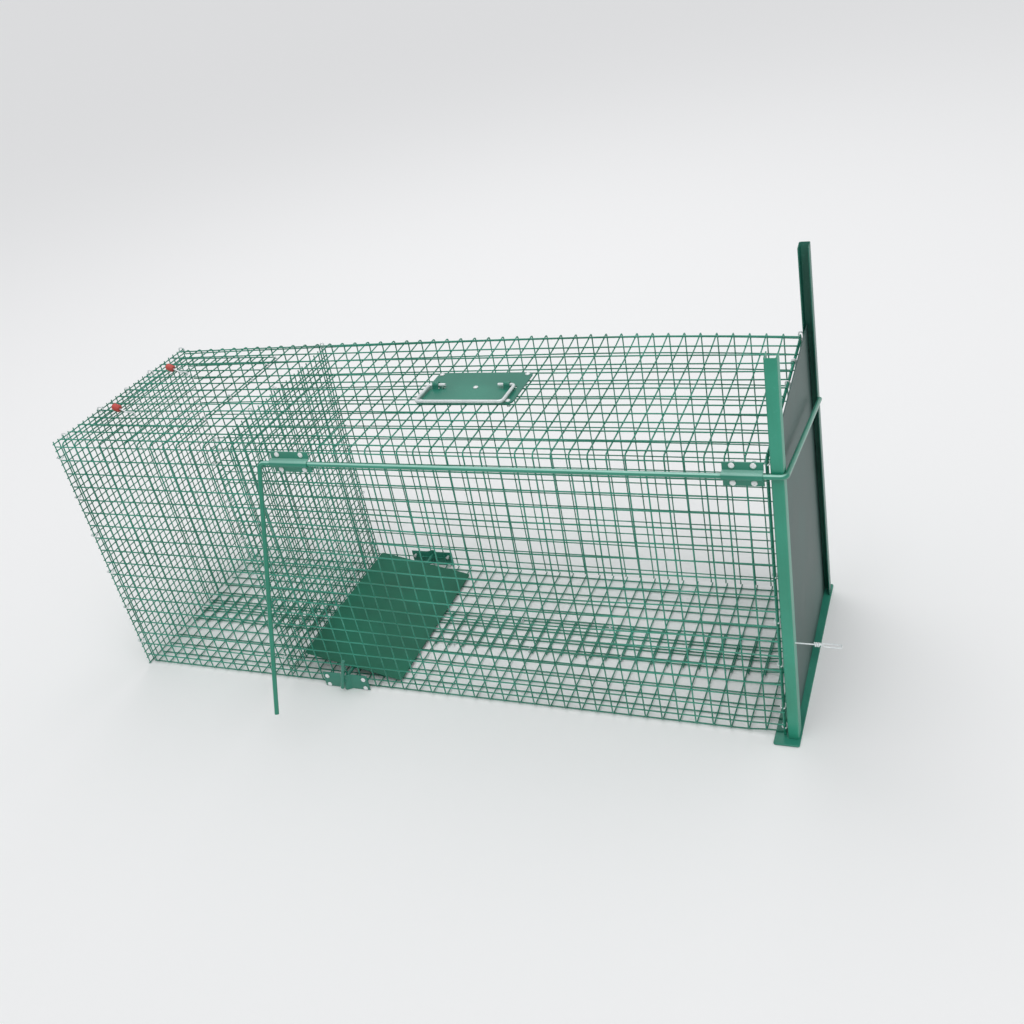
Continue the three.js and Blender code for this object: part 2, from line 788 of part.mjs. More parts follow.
// The least gap between runs of a wire that lie apart along it, measured on points along its route.
function leastGap(points, diameter) {
  const samples = [];
  let run = 0;
  for (let i = 1; i < points.length; i++) {
    const span = points[i].distanceTo(points[i - 1]);
    const parts = Math.ceil((4 * span) / diameter);
    for (let k = 0; k < parts; k++) {
      const place = points[i - 1].clone().lerp(points[i], k / parts);
      samples.push({ place, run: run + (span * k) / parts });
    }
    run += span;
  }
  let least = Infinity;
  for (const one of samples) {
    for (const other of samples) {
      if (other.run - one.run > 3 * diameter) least = Math.min(least, one.place.distanceTo(other.place));
    }
  }
  return least - diameter;
}

function addPin(parent) {
  const points = pinPoints();
  console.log(`locking_pin: least gap to itself ${leastGap(points, pinWire).toFixed(2)} mm`);
  const pin = add("locking_pin", roundWire(points, pinWire, 5), paint(zinc, 0.35, 0.8), parent);
  pin.position.set(0, pinY, pinHeight);
}

const hookX = (hatchRearWire + hookCell) * pitch + phase;

// A hook round a wire of the lid, with its tail climbing to the rear.
function hookPoints() {
  const radius = Math.hypot(half, half) + hookEyeRoom + hookWire / 2;
  const points = [];
  const steps = 8;
  const first = THREE.MathUtils.degToRad(-150);
  const last = Math.PI / 2;
  for (let i = 0; i <= steps; i++) {
    const angle = first + ((last - first) * i) / steps;
    points.push(at(radius * Math.cos(angle), 0, radius * Math.sin(angle)));
  }
  const knee = at(-hookRun, 0, radius);
  const along = at(-Math.cos(hookClimb), 0, Math.sin(hookClimb));
  points.push(knee, knee.clone().addScaledVector(along, hookTail));
  return { points, knee, along };
}

function cap() {
  const radius = capDiameter / 2;
  const bore = hookWire / 2 + gap;
  const profile = [
    [0, capBore],
    [bore, capBore],
    [bore, 0],
    [radius, 0],
    [radius, capLength - capRound],
    [radius - capRound / 2, capLength - capRound / 4],
    [0, capLength],
  ];
  const points = profile.map(([r, z]) => new THREE.Vector2(r, z));
  return new THREE.LatheGeometry(points, 10).rotateX(Math.PI / 2);
}

function addHook(name, cells, parent) {
  const { points, knee, along } = hookPoints();
  const place = at(hookX, lidNear + cells * pitch, lidHinge);
  const hook = add(`${name}_hatch_hook`, roundWire(points, hookWire, 6), paint(zinc, 0.35, 0.7), parent);
  hook.position.copy(place);
  const tip = knee.clone().addScaledVector(along, hookTail - capBore + gap);
  const mesh = add(`${name}_hook_cap`, cap(), paint(red, 0.5, 0), parent);
  mesh.quaternion.setFromUnitVectors(Z, along);
  mesh.position.copy(place).add(tip);
}

// An open ring round two wires, as a rounded rectangle in X and Y with its mouth at the low Y side.
function hogRing(wide, high) {
  const x = wide / 2 + ringRoom + ringWire / 2;
  const y = high / 2 + ringRoom + ringWire / 2;
  const mouth = ringMouth / 2 + ringWire / 2;
  const corners = [
    at(mouth, -y, 0),
    at(x, -y, 0),
    at(x, y, 0),
    at(-x, y, 0),
    at(-x, -y, 0),
    at(-mouth, -y, 0),
  ];
  return roundWire(bentPoints(corners, ringBend, 2), ringWire, 5);
}

function addRings(name, places, geometry, turn) {
  places.forEach((place, i) => {
    const ring = add(`${name}_${i + 1}`, geometry, paint(zinc, 0.35, 0.8));
    ring.quaternion.setFromRotationMatrix(turn);
    ring.position.copy(place);
  });
}

// At a whole count of cells, this sets a ring clear of the wire that lies there.
const pastWire = half + gap + ringWire / 2;

function addAllRings() {
  const upright = new THREE.Matrix4().makeBasis(X, Z, Y.clone().negate());
  const level = new THREE.Matrix4();
  const hingeWire = 2 * Math.hypot(half, half);
  const hingeHigh = lidHinge + hingeWire / 2 - topUnder;
  const hingeMiddle = (lidHinge + hingeWire / 2 + topUnder) / 2;
  const hinges = hingeRingCells.map((cell) => at(hatchFront, cell * pitch, hingeMiddle));
  addRings("hatch_hinge_ring", hinges, hogRing(hingeWire, hingeHigh), upright);

  const rearLow = -half - gap - panelDepth;
  const rearWide = half - rearLow;
  const rearX = (half + rearLow) / 2;
  const rearRing = hogRing(rearWide, panelDepth);
  const rears = rearRingCells.map((cell) => at(rearX, 0, cell * pitch + pastWire));
  addRings("rear_side_ring", rears, rearRing, level);

  const topLow = height - half;
  const topRing = hogRing(rearWide, topUpper - topLow);
  const topMiddle = (topUpper + topLow) / 2;
  const topRears = rearTopRingCells.map((cell) => at(rearX, cell * pitch + phase + pastWire, topMiddle));
  addRings("rear_top_ring", topRears, topRing, upright);

  const frontLow = length - hoopSetback - hoopWire / 2;
  const frontWide = length + half - frontLow;
  const frontX = (length + half + frontLow) / 2;
  const frontHigh = halfDepth + facing + hoopWire;
  const frontRing = hogRing(frontWide, frontHigh);
  const fronts = frontRingCells.map((cell) => at(frontX, frontHigh / 2 - halfDepth, cell * pitch + pastWire));
  addRings("front_side_ring", fronts, frontRing, level);

  const topZ = topUpper - frontHigh / 2;
  const topFronts = frontTopRingCells.map((cell) => at(frontX, cell * pitch + phase + pastWire, topZ));
  addRings("front_top_ring", topFronts, frontRing, upright);
}

function group() {
  const made = new THREE.Group();
  trap.add(made);
  return made;
}

addSides();
addTop();
addFloor();
addEnds();
addFrontEnd();
addSaddles();
addTreadleBrackets();
addDoor(group());
addRod(group());
addTreadle(group());
addPin(group());
const bailAxis = addHandle();
addBail(group(), bailAxis);
const lidGroup = group();
addLid(lidGroup);
addHook("near", hookNearCell, lidGroup);
addHook("far", hookFarCell, lidGroup);
addAllRings();

export default trap;
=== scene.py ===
# %% [markdown]
# # A live animal trap, dressed in Blender
#
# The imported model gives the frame: every body, its place and its joint. In this lesson each
# piece of the trap gets the shape that the maker's tools leave on it, such as round welded
# wires, folded saddles and pressed straps, and a finish that shows its paint, zinc or rubber.
# The CAD solids stay underneath for collision, and each new piece takes one or more over.

import bpy
import numpy as np
from mathutils import Matrix, Vector


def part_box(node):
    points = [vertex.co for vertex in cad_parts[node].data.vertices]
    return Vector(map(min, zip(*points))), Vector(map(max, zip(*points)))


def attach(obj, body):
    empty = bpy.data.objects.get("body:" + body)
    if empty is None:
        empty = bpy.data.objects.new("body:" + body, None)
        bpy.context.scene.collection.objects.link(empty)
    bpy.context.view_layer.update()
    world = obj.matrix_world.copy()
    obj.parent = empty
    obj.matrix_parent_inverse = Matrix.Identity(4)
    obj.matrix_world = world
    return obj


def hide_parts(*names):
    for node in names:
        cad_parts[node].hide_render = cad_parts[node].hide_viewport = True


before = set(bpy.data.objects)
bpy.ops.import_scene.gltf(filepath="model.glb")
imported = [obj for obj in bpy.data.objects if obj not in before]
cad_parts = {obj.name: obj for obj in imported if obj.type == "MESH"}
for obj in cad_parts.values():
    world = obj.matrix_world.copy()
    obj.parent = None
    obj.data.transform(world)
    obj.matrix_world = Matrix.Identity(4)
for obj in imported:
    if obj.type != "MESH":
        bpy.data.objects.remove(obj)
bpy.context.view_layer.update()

# %% [markdown]
# ## The camera and the light
#
# The camera was fitted to the corners and wires of the trap in the photograph, so it is set
# first and never moved again. It looks down by 30.5 degrees and leans by 12. The trap stood
# under the even light of a hall, so a soft world and a wide soft sun do most of the work here.
# One large lamp from above and behind draws the bright line along the rod, and a smaller one
# lights the door's end.

# %% Camera
TURNED, LOOKS_DOWN, LEANS = 26.6808, 30.5249, 11.8164
camera_data = bpy.data.cameras.new("trap_camera")
camera_data.lens = 38.8527
camera_data.sensor_width = 36.0
camera = bpy.data.objects.new("trap_camera", camera_data)
turn = Matrix.Rotation(np.radians(TURNED), 4, "Z")
tilt = Matrix.Rotation(np.radians(90 - LOOKS_DOWN), 4, "X")
roll = Matrix.Rotation(np.radians(-LEANS), 4, "Z")
place = Matrix.Translation((0.234754, -1.361069, 1.147066))
camera.matrix_world = place @ turn @ tilt @ roll
bpy.context.scene.collection.objects.link(camera)
bpy.context.scene.camera = camera
bpy.context.scene.view_settings.view_transform = "Standard"
print("camera at", tuple(round(c, 3) for c in camera.location))

# %% [markdown]
# ## Arithmetic for shaders
#
# A finish is a small sum: a colour, some fading, some grain. Written node by node the sum gets
# lost, so one class wraps an output and lets Python's plus and times add the Math nodes.
# Colours go through Mix, because a Math node would turn them grey.


# %% Shader arithmetic
def node(tree, kind, sockets, out=0, **settings):
    """Adds one node: first its settings, then the values or links of its sockets."""
    made = tree.nodes.new(kind)
    for key, value in settings.items():
        setattr(made, key, value)
    for key, value in sockets.items():
        if isinstance(value, Signal):
            tree.links.new(value.socket, made.inputs[key])
        else:
            made.inputs[key].default_value = value
    return Signal(tree, made.outputs[out])


class Signal:
    """An output that can be used in sums."""

    def __init__(self, tree, socket):
        self.tree = tree
        self.socket = socket

    def __add__(self, other):
        return node(self.tree, "ShaderNodeMath", {0: self, 1: other}, operation="ADD")

    def __mul__(self, other):
        return node(self.tree, "ShaderNodeMath", {0: self, 1: other}, operation="MULTIPLY")

    __radd__ = __add__
    __rmul__ = __mul__

    def between(self, low, high):
        """0 below low, 1 above high and a smooth rise between them."""
        sockets = {"Value": self, "From Min": low, "From Max": high}
        return node(self.tree, "ShaderNodeMapRange", sockets, interpolation_type="SMOOTHSTEP")


def mix(tree, share, first, second):
    """The first colour where share is 0 and the second where it is 1."""
    sockets = {0: share, 6: first, 7: second}
    return node(tree, "ShaderNodeMix", sockets, 2, data_type="RGBA")


def srgb(red, green, blue):
    """A colour given as 0 to 255 on a screen, as the linear numbers that a shader takes."""
    c = np.array([red, green, blue]) / 255
    linear = np.where(c <= 0.04045, c / 12.92, ((c + 0.055) / 1.055) ** 2.4)
    return (*linear, 1.0)


# %% [markdown]
# ## The floor and the lamps
#
# The floor is a plain pale sheet that only keeps the trap's shadow. It is not attached to any
# body of the trap.

# %% Floor and light
WHITE, HALL_TONE, PALE = (1, 1, 1, 1), (0.97, 0.98, 1, 1), (0.94, 0.94, 0.94, 1)
world = bpy.data.worlds.new("hall")
bpy.context.scene.world = world
world.use_nodes = True
hall = world.node_tree
hall.nodes.clear()
camera_ray = node(hall, "ShaderNodeLightPath", {}, "Is Camera Ray")
shown = node(hall, "ShaderNodeBackground", {"Color": WHITE, "Strength": 1.0})
light = node(hall, "ShaderNodeBackground", {"Color": HALL_TONE, "Strength": 0.52})
both = node(hall, "ShaderNodeMixShader", {0: camera_ray, 1: light, 2: shown})
world_out = hall.nodes.new("ShaderNodeOutputWorld")
hall.links.new(both.socket, world_out.inputs["Surface"])


def lamp(name, kind, power, spread, spot, aim):
    """A lamp at a spot, turned to face a point: a sun with an angle, or a square with a size."""
    data = bpy.data.lights.new(name, kind)
    data.energy = power
    if kind == "SUN":
        data.angle = spread
    else:
        data.size = spread
    made = bpy.data.objects.new(name, data)
    facing = (Vector(spot) - Vector(aim)).to_track_quat("Z", "Y").to_matrix().to_4x4()
    made.matrix_world = Matrix.Translation(spot) @ facing
    bpy.context.scene.collection.objects.link(made)


lamp("hall_light", "SUN", 0.9, np.radians(50), (0.6, -1.6, 4.0), (0, 0, 0))
lamp("roof_lamp", "AREA", 24, 2.4, (-1.2, 1.6, 3.4), (-0.5, 0, 0.2))
lamp("door_lamp", "AREA", 9, 1.6, (1.8, -2.0, 2.6), (-0.2, 0, 0.3))

REACH, BELOW = 40.0, 0.0005
corners = [(-REACH, -REACH, 0), (REACH, -REACH, 0), (REACH, REACH, 0), (-REACH, REACH, 0)]
sheet = bpy.data.meshes.new("pale_floor")
sheet.from_pydata(corners, [], [(0, 1, 2, 3)])
floor = bpy.data.objects.new("pale_floor", sheet)
bpy.context.scene.collection.objects.link(floor)
floor.location.z = -BELOW
floor_paint = bpy.data.materials.new("pale_floor")
floor_paint.use_nodes = True
floor_shader = floor_paint.node_tree.nodes["Principled BSDF"]
floor_shader.inputs["Base Color"].default_value = PALE
floor_shader.inputs["Roughness"].default_value = 0.9
sheet.materials.append(floor_paint)
print("stage ready")

# %% [markdown]
# ## Finishes
#
# The whole cage is dipped or sprayed in one green enamel. Wires keep it thick and smooth, flat
# sheets show a fine orange peel, and the treadle is a darker green than the rest. A finish
# here is a base colour that drifts by a few shades over a hand's width, a paler worn tone where
# a speckle passes a limit, and a bump from a fine grain. The rod and its saddles also carry a
# painted highlight: they are paler where they face up and to the near side.


# %% Paint, zinc and rubber
# The way that the painted highlight faces, and its paler colour.
HIGHLIGHT_FACING, HIGHLIGHT_TONE = (0, -0.42, 0.91), srgb(176, 226, 212)


def finish(name):
    """A new material, its tree and shader, and the coordinates that its patterns follow."""
    material = bpy.data.materials.new(name)
    material.use_nodes = True
    tree = material.node_tree
    coords = node(tree, "ShaderNodeTexCoord", {}, "Object")
    return material, tree, tree.nodes["Principled BSDF"], coords


def noise(tree, coords, scale, detail):
    """Soft noise from 0 to 1, with about scale lumps to a metre."""
    return node(tree, "ShaderNodeTexNoise", {"Vector": coords, "Scale": scale, "Detail": detail})


def feed(tree, shader, colour, rough, bump):
    """Links a finish's three outputs to its shader."""
    for key, value in (("Base Color", colour), ("Roughness", rough), ("Normal", bump)):
        tree.links.new(value.socket, shader.inputs[key])


def enamel(name, tone, faded, scratched, rough, grain, wear, coat=0.25, highlight_share=0.0):
    """Paint: the tone drifts to a faded one, and shows scratches where a fine noise is high.
    A painted highlight: where the surface faces up and to the near side, it is paler by the
    share in the last argument."""
    material, tree, shader, coords = finish(name)
    drift = noise(tree, coords, 9.0, 3.0)
    speck = noise(tree, coords, 210.0, 4.0)
    peel = noise(tree, coords, grain, 2.0)
    worn = speck.between(0.62, 0.70) * drift.between(0.45, 0.62) * wear
    colour = mix(tree, drift.between(0.35, 0.68), srgb(*tone), srgb(*faded))
    colour = mix(tree, worn, colour, srgb(*scratched))
    # Painted highlight: faces turned up and to the near side get a paler tone.
    if highlight_share:
        sockets = {0: node(tree, "ShaderNodeTexCoord", {}, "Normal"), 1: HIGHLIGHT_FACING}
        ridge = node(tree, "ShaderNodeVectorMath", sockets, "Value", operation="DOT_PRODUCT")
        colour = mix(tree, ridge.between(0.8, 0.97) * highlight_share, colour, HIGHLIGHT_TONE)
    bump = node(tree, "ShaderNodeBump", {"Strength": 0.35, "Distance": 0.0002, "Height": peel})
    feed(tree, shader, colour, rough + 0.18 * drift + 0.2 * worn, bump)
    shader.inputs["Coat Weight"].default_value = coat
    shader.inputs["Coat Roughness"].default_value = 0.2
    return material


def plated(name, tone, dull, rough, spangle):
    """Zinc or aluminium: cells of two greys with a slightly different gloss, and a fine bump."""
    material, tree, shader, coords = finish(name)
    cells = node(tree, "ShaderNodeTexVoronoi", {"Vector": coords, "Scale": spangle})
    haze = noise(tree, coords, 60.0, 4.0)
    shade = cells.between(0.1, 0.7) * 0.5 + haze.between(0.35, 0.65) * 0.5
    bump = node(tree, "ShaderNodeBump", {"Strength": 0.3, "Distance": 0.0001, "Height": haze})
    feed(tree, shader, mix(tree, shade, srgb(*tone), srgb(*dull)), rough + 0.15 * shade, bump)
    shader.inputs["Metallic"].default_value = 0.25
    return material


# Each call gives the tone, the faded and the scratched colour, then roughness, grain and wear,
# and in some the coat and the share of a painted highlight.
mesh_enamel = enamel(
    "mesh_enamel", (28, 124, 100), (48, 150, 126), (120, 190, 172), 0.28, 700.0, 0.5
)
strap_enamel = enamel(
    "strap_enamel", (34, 122, 102), (48, 138, 116), (100, 168, 150), 0.30, 900.0, 0.3
)
post_enamel = enamel(
    "post_enamel", (36, 142, 114), (48, 156, 128), (84, 174, 150), 0.34, 900.0, 0.3
)
rod_enamel = enamel(
    "rod_enamel", (30, 132, 106), (44, 148, 122), (120, 190, 172), 0.22, 900.0, 0.3, 0.5, 0.8
)
saddle_enamel = enamel(
    "saddle_enamel", (26, 124, 100), (38, 138, 114), (100, 168, 150), 0.3, 900.0, 0.3, 0.3, 0.5
)
# The far post's enamel is a darker copy of the post enamel: painted shade for its inner side.
shaded_far_post_enamel = enamel(
    "shaded_far_post_enamel", (16, 92, 76), (28, 108, 90), (70, 140, 122), 0.4, 900.0, 0.3
)
# The treadle's enamel is a darker green than the rest of the cage.
treadle_enamel = enamel(
    "treadle_enamel", (6, 98, 74), (14, 114, 88), (50, 134, 112), 0.5, 1200.0, 0.4, 0.0
)
# The door's green paint is greyed by a painted reflection of a grey floor, seen at a grazing
# angle.
door_sheen_enamel = enamel(
    "door_sheen_enamel", (50, 80, 74), (66, 96, 90), (104, 130, 124), 0.42, 1000.0, 0.3, 0.0
)
red_rubber = enamel(
    "red_rubber", (196, 74, 66), (206, 92, 82), (220, 130, 120), 0.45, 800.0, 0.5, 0.05
)
zinc = plated("bright_zinc", (246, 250, 250), (218, 224, 225), 0.24, 420.0)
rivet_metal = plated("rivet_aluminium", (250, 252, 252), (226, 230, 230), 0.2, 900.0)
print("finishes:", len(bpy.data.materials))

# %% [markdown]
# ## Surfaces from arrays
#
# Every piece is worked out in millimetres on the trap itself, counted from the rear near bottom
# corner of the mesh, and turned to metres in the model's frame at the end. A surface is a table
# of points, so its faces follow from the table's size alone. The arrays go into the mesh in one
# step, with no loop over vertices.
#
# A cage that has been carried about is no longer square. In the photograph the far top edge
# bows out and up, and the far post leans to the rear, so every piece of the cage passes through
# one smooth field that does the same. The moving pieces don't: the field is small near most of
# them, and the door gets a lean of its own.

# %% Helpers for meshes
# The cage's length and width, and the heights of the planes of its floor and top wires.
LONG, WIDE, LOW, TOP = 1143.0, 355.6, 2.35, 460.95
CORNER = np.array([-1146.5, -177.8, 0.0])
POST_TOP = 597.0
BOWED_OUT, BOWED_UP, LEAN = 16, 11, 12.0
X, Y, Z = np.eye(3)


def settled(points):
    """The cage as it stands after use. With a = y / WIDE and h = z / TOP, the far top edge has
    gone out by BOWED_OUT times (1 - 0.6 (2 x / LONG - 1)^4) a^6 h^2 and up by BOWED_UP times
    sin(0.8 pi (x / LONG)^1.5) a^8 h^2. The far post leans to the rear by LEAN at its top and
    takes the mesh along, so x falls by LEAN times a times z / POST_TOP times (x / LONG)^4."""
    x, y, z = points.T
    along, aside, high = np.clip(x / LONG, 0, 1), np.clip(y / WIDE, 0, 1), np.clip(z / TOP, 0, 1)
    out = BOWED_OUT * (1 - 0.6 * (2 * along - 1) ** 4) * aside**6 * high**2
    up = BOWED_UP * np.sin(0.8 * np.pi * along**1.5) * aside**8 * high**2
    back = LEAN * aside * (z / POST_TOP) * along**4
    return np.stack([x - back, y + out, z + up], 1)


def piece(name, parts, body, material, nodes=(), sharp=35.0):
    """Joins parts, each a pair of points and face arrays, into one object that rides on a body."""
    points = np.concatenate([p for p, _ in parts])
    if body == "cage":
        points = settled(points)
    first = np.cumsum([0] + [len(p) for p, _ in parts])
    faces = [f + start for (_, many), start in zip(parts, first) for f in many]
    loops = np.concatenate([f.ravel() for f in faces]).astype(np.int32)
    sizes = np.concatenate([np.full(len(f), f.shape[1]) for f in faces])
    starts = np.concatenate([[0], np.cumsum(sizes)[:-1]]).astype(np.int32)
    mesh = bpy.data.meshes.new(name)
    mesh.vertices.add(len(points))
    mesh.vertices.foreach_set("co", ((points + CORNER) / 1000).ravel())
    mesh.loops.add(len(loops))
    mesh.loops.foreach_set("vertex_index", loops)
    mesh.polygons.add(len(sizes))
    mesh.polygons.foreach_set("loop_start", starts)
    mesh.update(calc_edges=True)
    mesh.validate()
    mesh.polygons.foreach_set("use_smooth", np.ones(len(mesh.polygons), bool))
    mesh.set_sharp_from_angle(angle=np.radians(sharp))
    mesh.materials.append(material)
    made = bpy.data.objects.new(name, mesh)
    bpy.context.scene.collection.objects.link(made)
    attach(made, body)
    if nodes:
        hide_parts(*nodes)
    return made


def node_box(name):
    """The low and the high corner of a CAD node, in millimetres on the trap."""
    return [np.array(c) * 1000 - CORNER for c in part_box(name)]


def wrap(table):
    """Faces of a table of sections: each section is a closed ring, and the two ends are capped."""
    n, k = table.shape[:2]
    at = np.arange(n * k).reshape(n, k)
    here, ahead = at[:-1], at[1:]
    skin = np.stack([here, np.roll(here, -1, 1), np.roll(ahead, -1, 1), ahead], -1)
    return table.reshape(-1, 3), [skin.reshape(-1, 4), at[:1, ::-1], at[-1:]]


def carry(path, profile, aside):
    """A profile carried along a path. Point = station + u times across + v times aside, where
    across is at right angles to the path and to aside, and is stretched at a bend so that a
    straight run keeps its thickness."""
    path = np.asarray(path, float)
    aside = np.asarray(aside, float)
    step = np.diff(path, axis=0)
    step /= np.linalg.norm(step, axis=1, keepdims=True)
    sides = np.cross(aside, step)
    before = np.concatenate([sides[:1], sides])
    after = np.concatenate([sides, sides[-1:]])
    across = before + after
    across /= np.sum(across * before, axis=1, keepdims=True)
    u, v = np.asarray(profile, float).T
    return wrap(path[:, None] + across[:, None] * u[None, :, None] + aside * v[None, :, None])


def full_turn(sides):
    """The angles of a full turn, one for each side."""
    return 2 * np.pi * np.arange(sides) / sides


def circle(radius, sides):
    """Points on a circle, one for each side."""
    turn = full_turn(sides)
    return np.stack([radius * np.cos(turn), radius * np.sin(turn)], 1)


def rounded(wide, high, radius, steps):
    """The outline of a rectangle about zero, with quarter circles at its corners."""
    quarter = np.linspace(0, np.pi / 2, steps)
    corners = []
    for i, (x, y) in enumerate(((1, 1), (-1, 1), (-1, -1), (1, -1))):
        turn = quarter + i * np.pi / 2
        middle = np.array([x * (wide / 2 - radius), y * (high / 2 - radius)])
        corners.append(middle + radius * np.stack([np.cos(turn), np.sin(turn)], 1))
    return np.concatenate(corners)


def bent(corners, radius, steps=7):
    """The corners of a wire with each inner one turned into an arc. On an arc the point is the
    arc's start + radius times sine along the arriving run + radius times (1 - cosine) inward."""
    corners = [np.asarray(c, float) for c in corners]
    points = [corners[:1]]
    for before, here, after in zip(corners, corners[1:], corners[2:]):
        arriving = (here - before) / np.linalg.norm(here - before)
        leaving = (after - here) / np.linalg.norm(after - here)
        turn = np.arccos(np.clip(arriving @ leaving, -1, 1))
        inward = leaving - arriving * (leaving @ arriving)
        inward /= np.linalg.norm(inward)
        angle = np.linspace(0, turn, steps)[:, None]
        start = here - arriving * radius * np.tan(turn / 2)
        points.append(start + radius * (np.sin(angle) * arriving + (1 - np.cos(angle)) * inward))
    points.append(corners[-1:])
    return np.concatenate(points)


def spin(profile, middle, axis, sides):
    """A profile of radius and height turned about an axis through a middle."""
    axis = np.asarray(axis, float) / np.linalg.norm(axis)
    helper = np.eye(3)[np.argmin(np.abs(axis))]
    one = np.cross(axis, helper)
    one /= np.linalg.norm(one)
    two = np.cross(axis, one)
    r, h = np.asarray(profile, float).T
    turn = full_turn(sides)
    ring = np.cos(turn)[:, None] * one + np.sin(turn)[:, None] * two
    return wrap(np.asarray(middle) + h[:, None, None] * axis + r[:, None, None] * ring)


# %% [markdown]
# ## The mesh sleeve
#
# One length of welded mesh is bent round the near side, the top, the far side and the floor,
# where its edges lap. The long wires lie outside and the cross wires inside. So one function
# gives a place on the sleeve from the way round it, and all four panels use it. Each wire is a
# tube of six or eight sides that swells a little at every weld, and the sheet waves by half a
# millimetre, as real mesh does. The near side stands out a little at its middle.

# %% The sleeve's form
PITCH = 25.4
TALL = TOP - LOW
BEND = 7.0
CORNERS = np.array([[0, LOW], [0, TOP], [WIDE, TOP], [WIDE, LOW]])
ALONG = np.array([[0, 1], [1, 0], [0, -1], [-1, 0]])
OUTWARD = np.array([[-1, 0], [0, 1], [1, 0], [0, -1]])
SPANS = np.array([TALL, WIDE, TALL, WIDE])
STARTS = np.array([0, TALL, TALL + WIDE, 2 * TALL + WIDE])
END = 2 * TALL + WIDE + WIDE
BULGE, BULGE_REAR = 10, 330
SILL_STEP, STEP_REAR, STEP_LONG, STEP_FADE = 3.4, 1080, 45, 40


def sleeve(x, way, lift):
    """The place on the sleeve at x, a way round its section and a lift outwards.
    The section is a rectangle with round corners. Within BEND of a corner, the way turns into an
    angle about the corner's middle. Between the partition and the door the near side stands out
    by BULGE times a squared sine along x and one up it, and waves of half a millimetre run
    through the whole sheet. Over the sill the sheet rises by SILL_STEP at the floor, and by less
    and less up to STEP_FADE above it."""
    x, way, lift = np.broadcast_arrays(x, way, lift)
    side = np.clip(np.searchsorted(STARTS, way, side="right") - 1, 0, 3)
    run = way - STARTS[side]
    span = SPANS[side]
    angle = np.pi / 4 * (np.clip(run / BEND - 1, -1, 0) + np.clip((run - span) / BEND + 1, 0, 1))
    on_line = np.clip(run, BEND, span - BEND)
    out, along = OUTWARD[side], ALONG[side]
    share = np.clip(run / span, 0, 1)
    between = np.clip((x - BULGE_REAR) / (LONG - BULGE_REAR), 0, 1)
    bulge = BULGE * np.sin(np.pi * between) ** 2 * np.sin(np.pi * share) ** 2 * (side == 0)
    wave = 0.5 * np.sin(x / 61 + way / 47) * np.sin(way / 83 - x / 97) * np.sin(np.pi * share)
    turned = np.cos(angle)[..., None] * out + np.sin(angle)[..., None] * along
    middle = CORNERS[side] + on_line[..., None] * along - BEND * out
    section = middle + (BEND + lift)[..., None] * turned + (bulge + wave)[..., None] * out
    rise = np.clip((x - STEP_REAR) / STEP_LONG, 0, 1)
    low_down = np.clip(1 - (section[..., 1] - LOW) / STEP_FADE, 0, 1)
    step = SILL_STEP * rise**2 * (3 - 2 * rise) * low_down
    return np.stack([x, section[..., 0], section[..., 1] + step], -1)


# A wire's radius, half a weld's length, the share by which the wire swells there, and the least
# distance of a weld from a wire's end.
WIRE, WELD, SWELL, END_GAP = 1.1, 1.8, 0.14, 2


def strands(form, runs, crossings, lift, cross=True, radius=WIRE, sides=8):
    """Wires on a sheet. A run is (place across, first, last), and its stations lie at both ends,
    at the crossings between them and WELD to either side of each. Point = form(station, place +
    radius times cosine, lift + radius times sine), and the radius grows by the share SWELL at a
    crossing. A cross wire takes its station as the second number, and also has stations round the
    sleeve's bends."""
    parts = []
    turn = full_turn(sides)
    if cross:
        turn = turn[::-1]
    round_end = BEND * np.array([0, 0.25, 0.5, 0.75, 1]) * cross
    for place, first, last in runs:
        inner = crossings[(crossings > first + END_GAP) & (crossings < last - END_GAP)]
        welds = [inner - WELD, inner, inner + WELD]
        stations = np.concatenate(welds + [first + round_end, last - round_end])
        stations = np.unique(np.clip(stations, first, last))
        near = np.min(np.abs(stations[:, None] - crossings[None]), axis=1)
        size = radius * (1 + SWELL * (near < 0.5))
        across = place + size[:, None] * np.cos(turn)
        height = lift + size[:, None] * np.sin(turn)
        station = np.broadcast_to(stations[:, None], across.shape)
        places = (across, station, height) if cross else (station, across, height)
        parts.append(wrap(form(*places)))
    return parts


def woven(name, parts, node_name, body="cage"):
    """A panel of mesh in its enamel, in the place of one CAD node."""
    return piece(name, parts, body, mesh_enamel, [node_name], 60)


# %% [markdown]
# The wires' places were read from the photograph: the cross wires run on from the side over
# the edge to the top, half a cell off the rear panel's grid, and up to 11 mm further on towards
# the door. The wire ends of a cut sheet are never level, so each long wire ends at its own
# length.

# %% The sleeve's wires
CELLS, DRIFT, DRIFT_FROM = 45, 11.2, 10
count = np.arange(CELLS)
drifted = np.clip((count - DRIFT_FROM) / (CELLS - 1 - DRIFT_FROM), 0, 1)
cross_x = PITCH * (count + 0.5) + DRIFT * drifted

# How far each panel's long wires lie off whole cells, as a share of a cell.
NEAR_SHIFT, TOP_SHIFT, FAR_SHIFT, FLOOR_SHIFT = -0.1, 0.45, -0.25, 0.3
upward, aside = np.arange(1, 19), np.arange(14)
near_way = PITCH * (upward + NEAR_SHIFT) - LOW
top_way = TALL + PITCH * (aside + TOP_SHIFT)
far_way = TALL + WIDE + TALL - (PITCH * (upward + FAR_SHIFT) - LOW)[::-1]
floor_way = END - (PITCH * (aside + FLOOR_SHIFT))[::-1]
LONG_LIFT, CROSS_LIFT = 1.0, -1.0
uneven = np.random.default_rng(7)


def long_runs(ways, rear=0.0):
    """A run for each way round, uneven by 0.8 mm at the rear end and 1.2 mm at the front one."""
    n = len(ways)
    rear_ends = rear + uneven.uniform(-0.8, 0.8, n)
    return np.stack([ways, rear_ends, LONG + uneven.uniform(-1.2, 1.2, n)], 1)


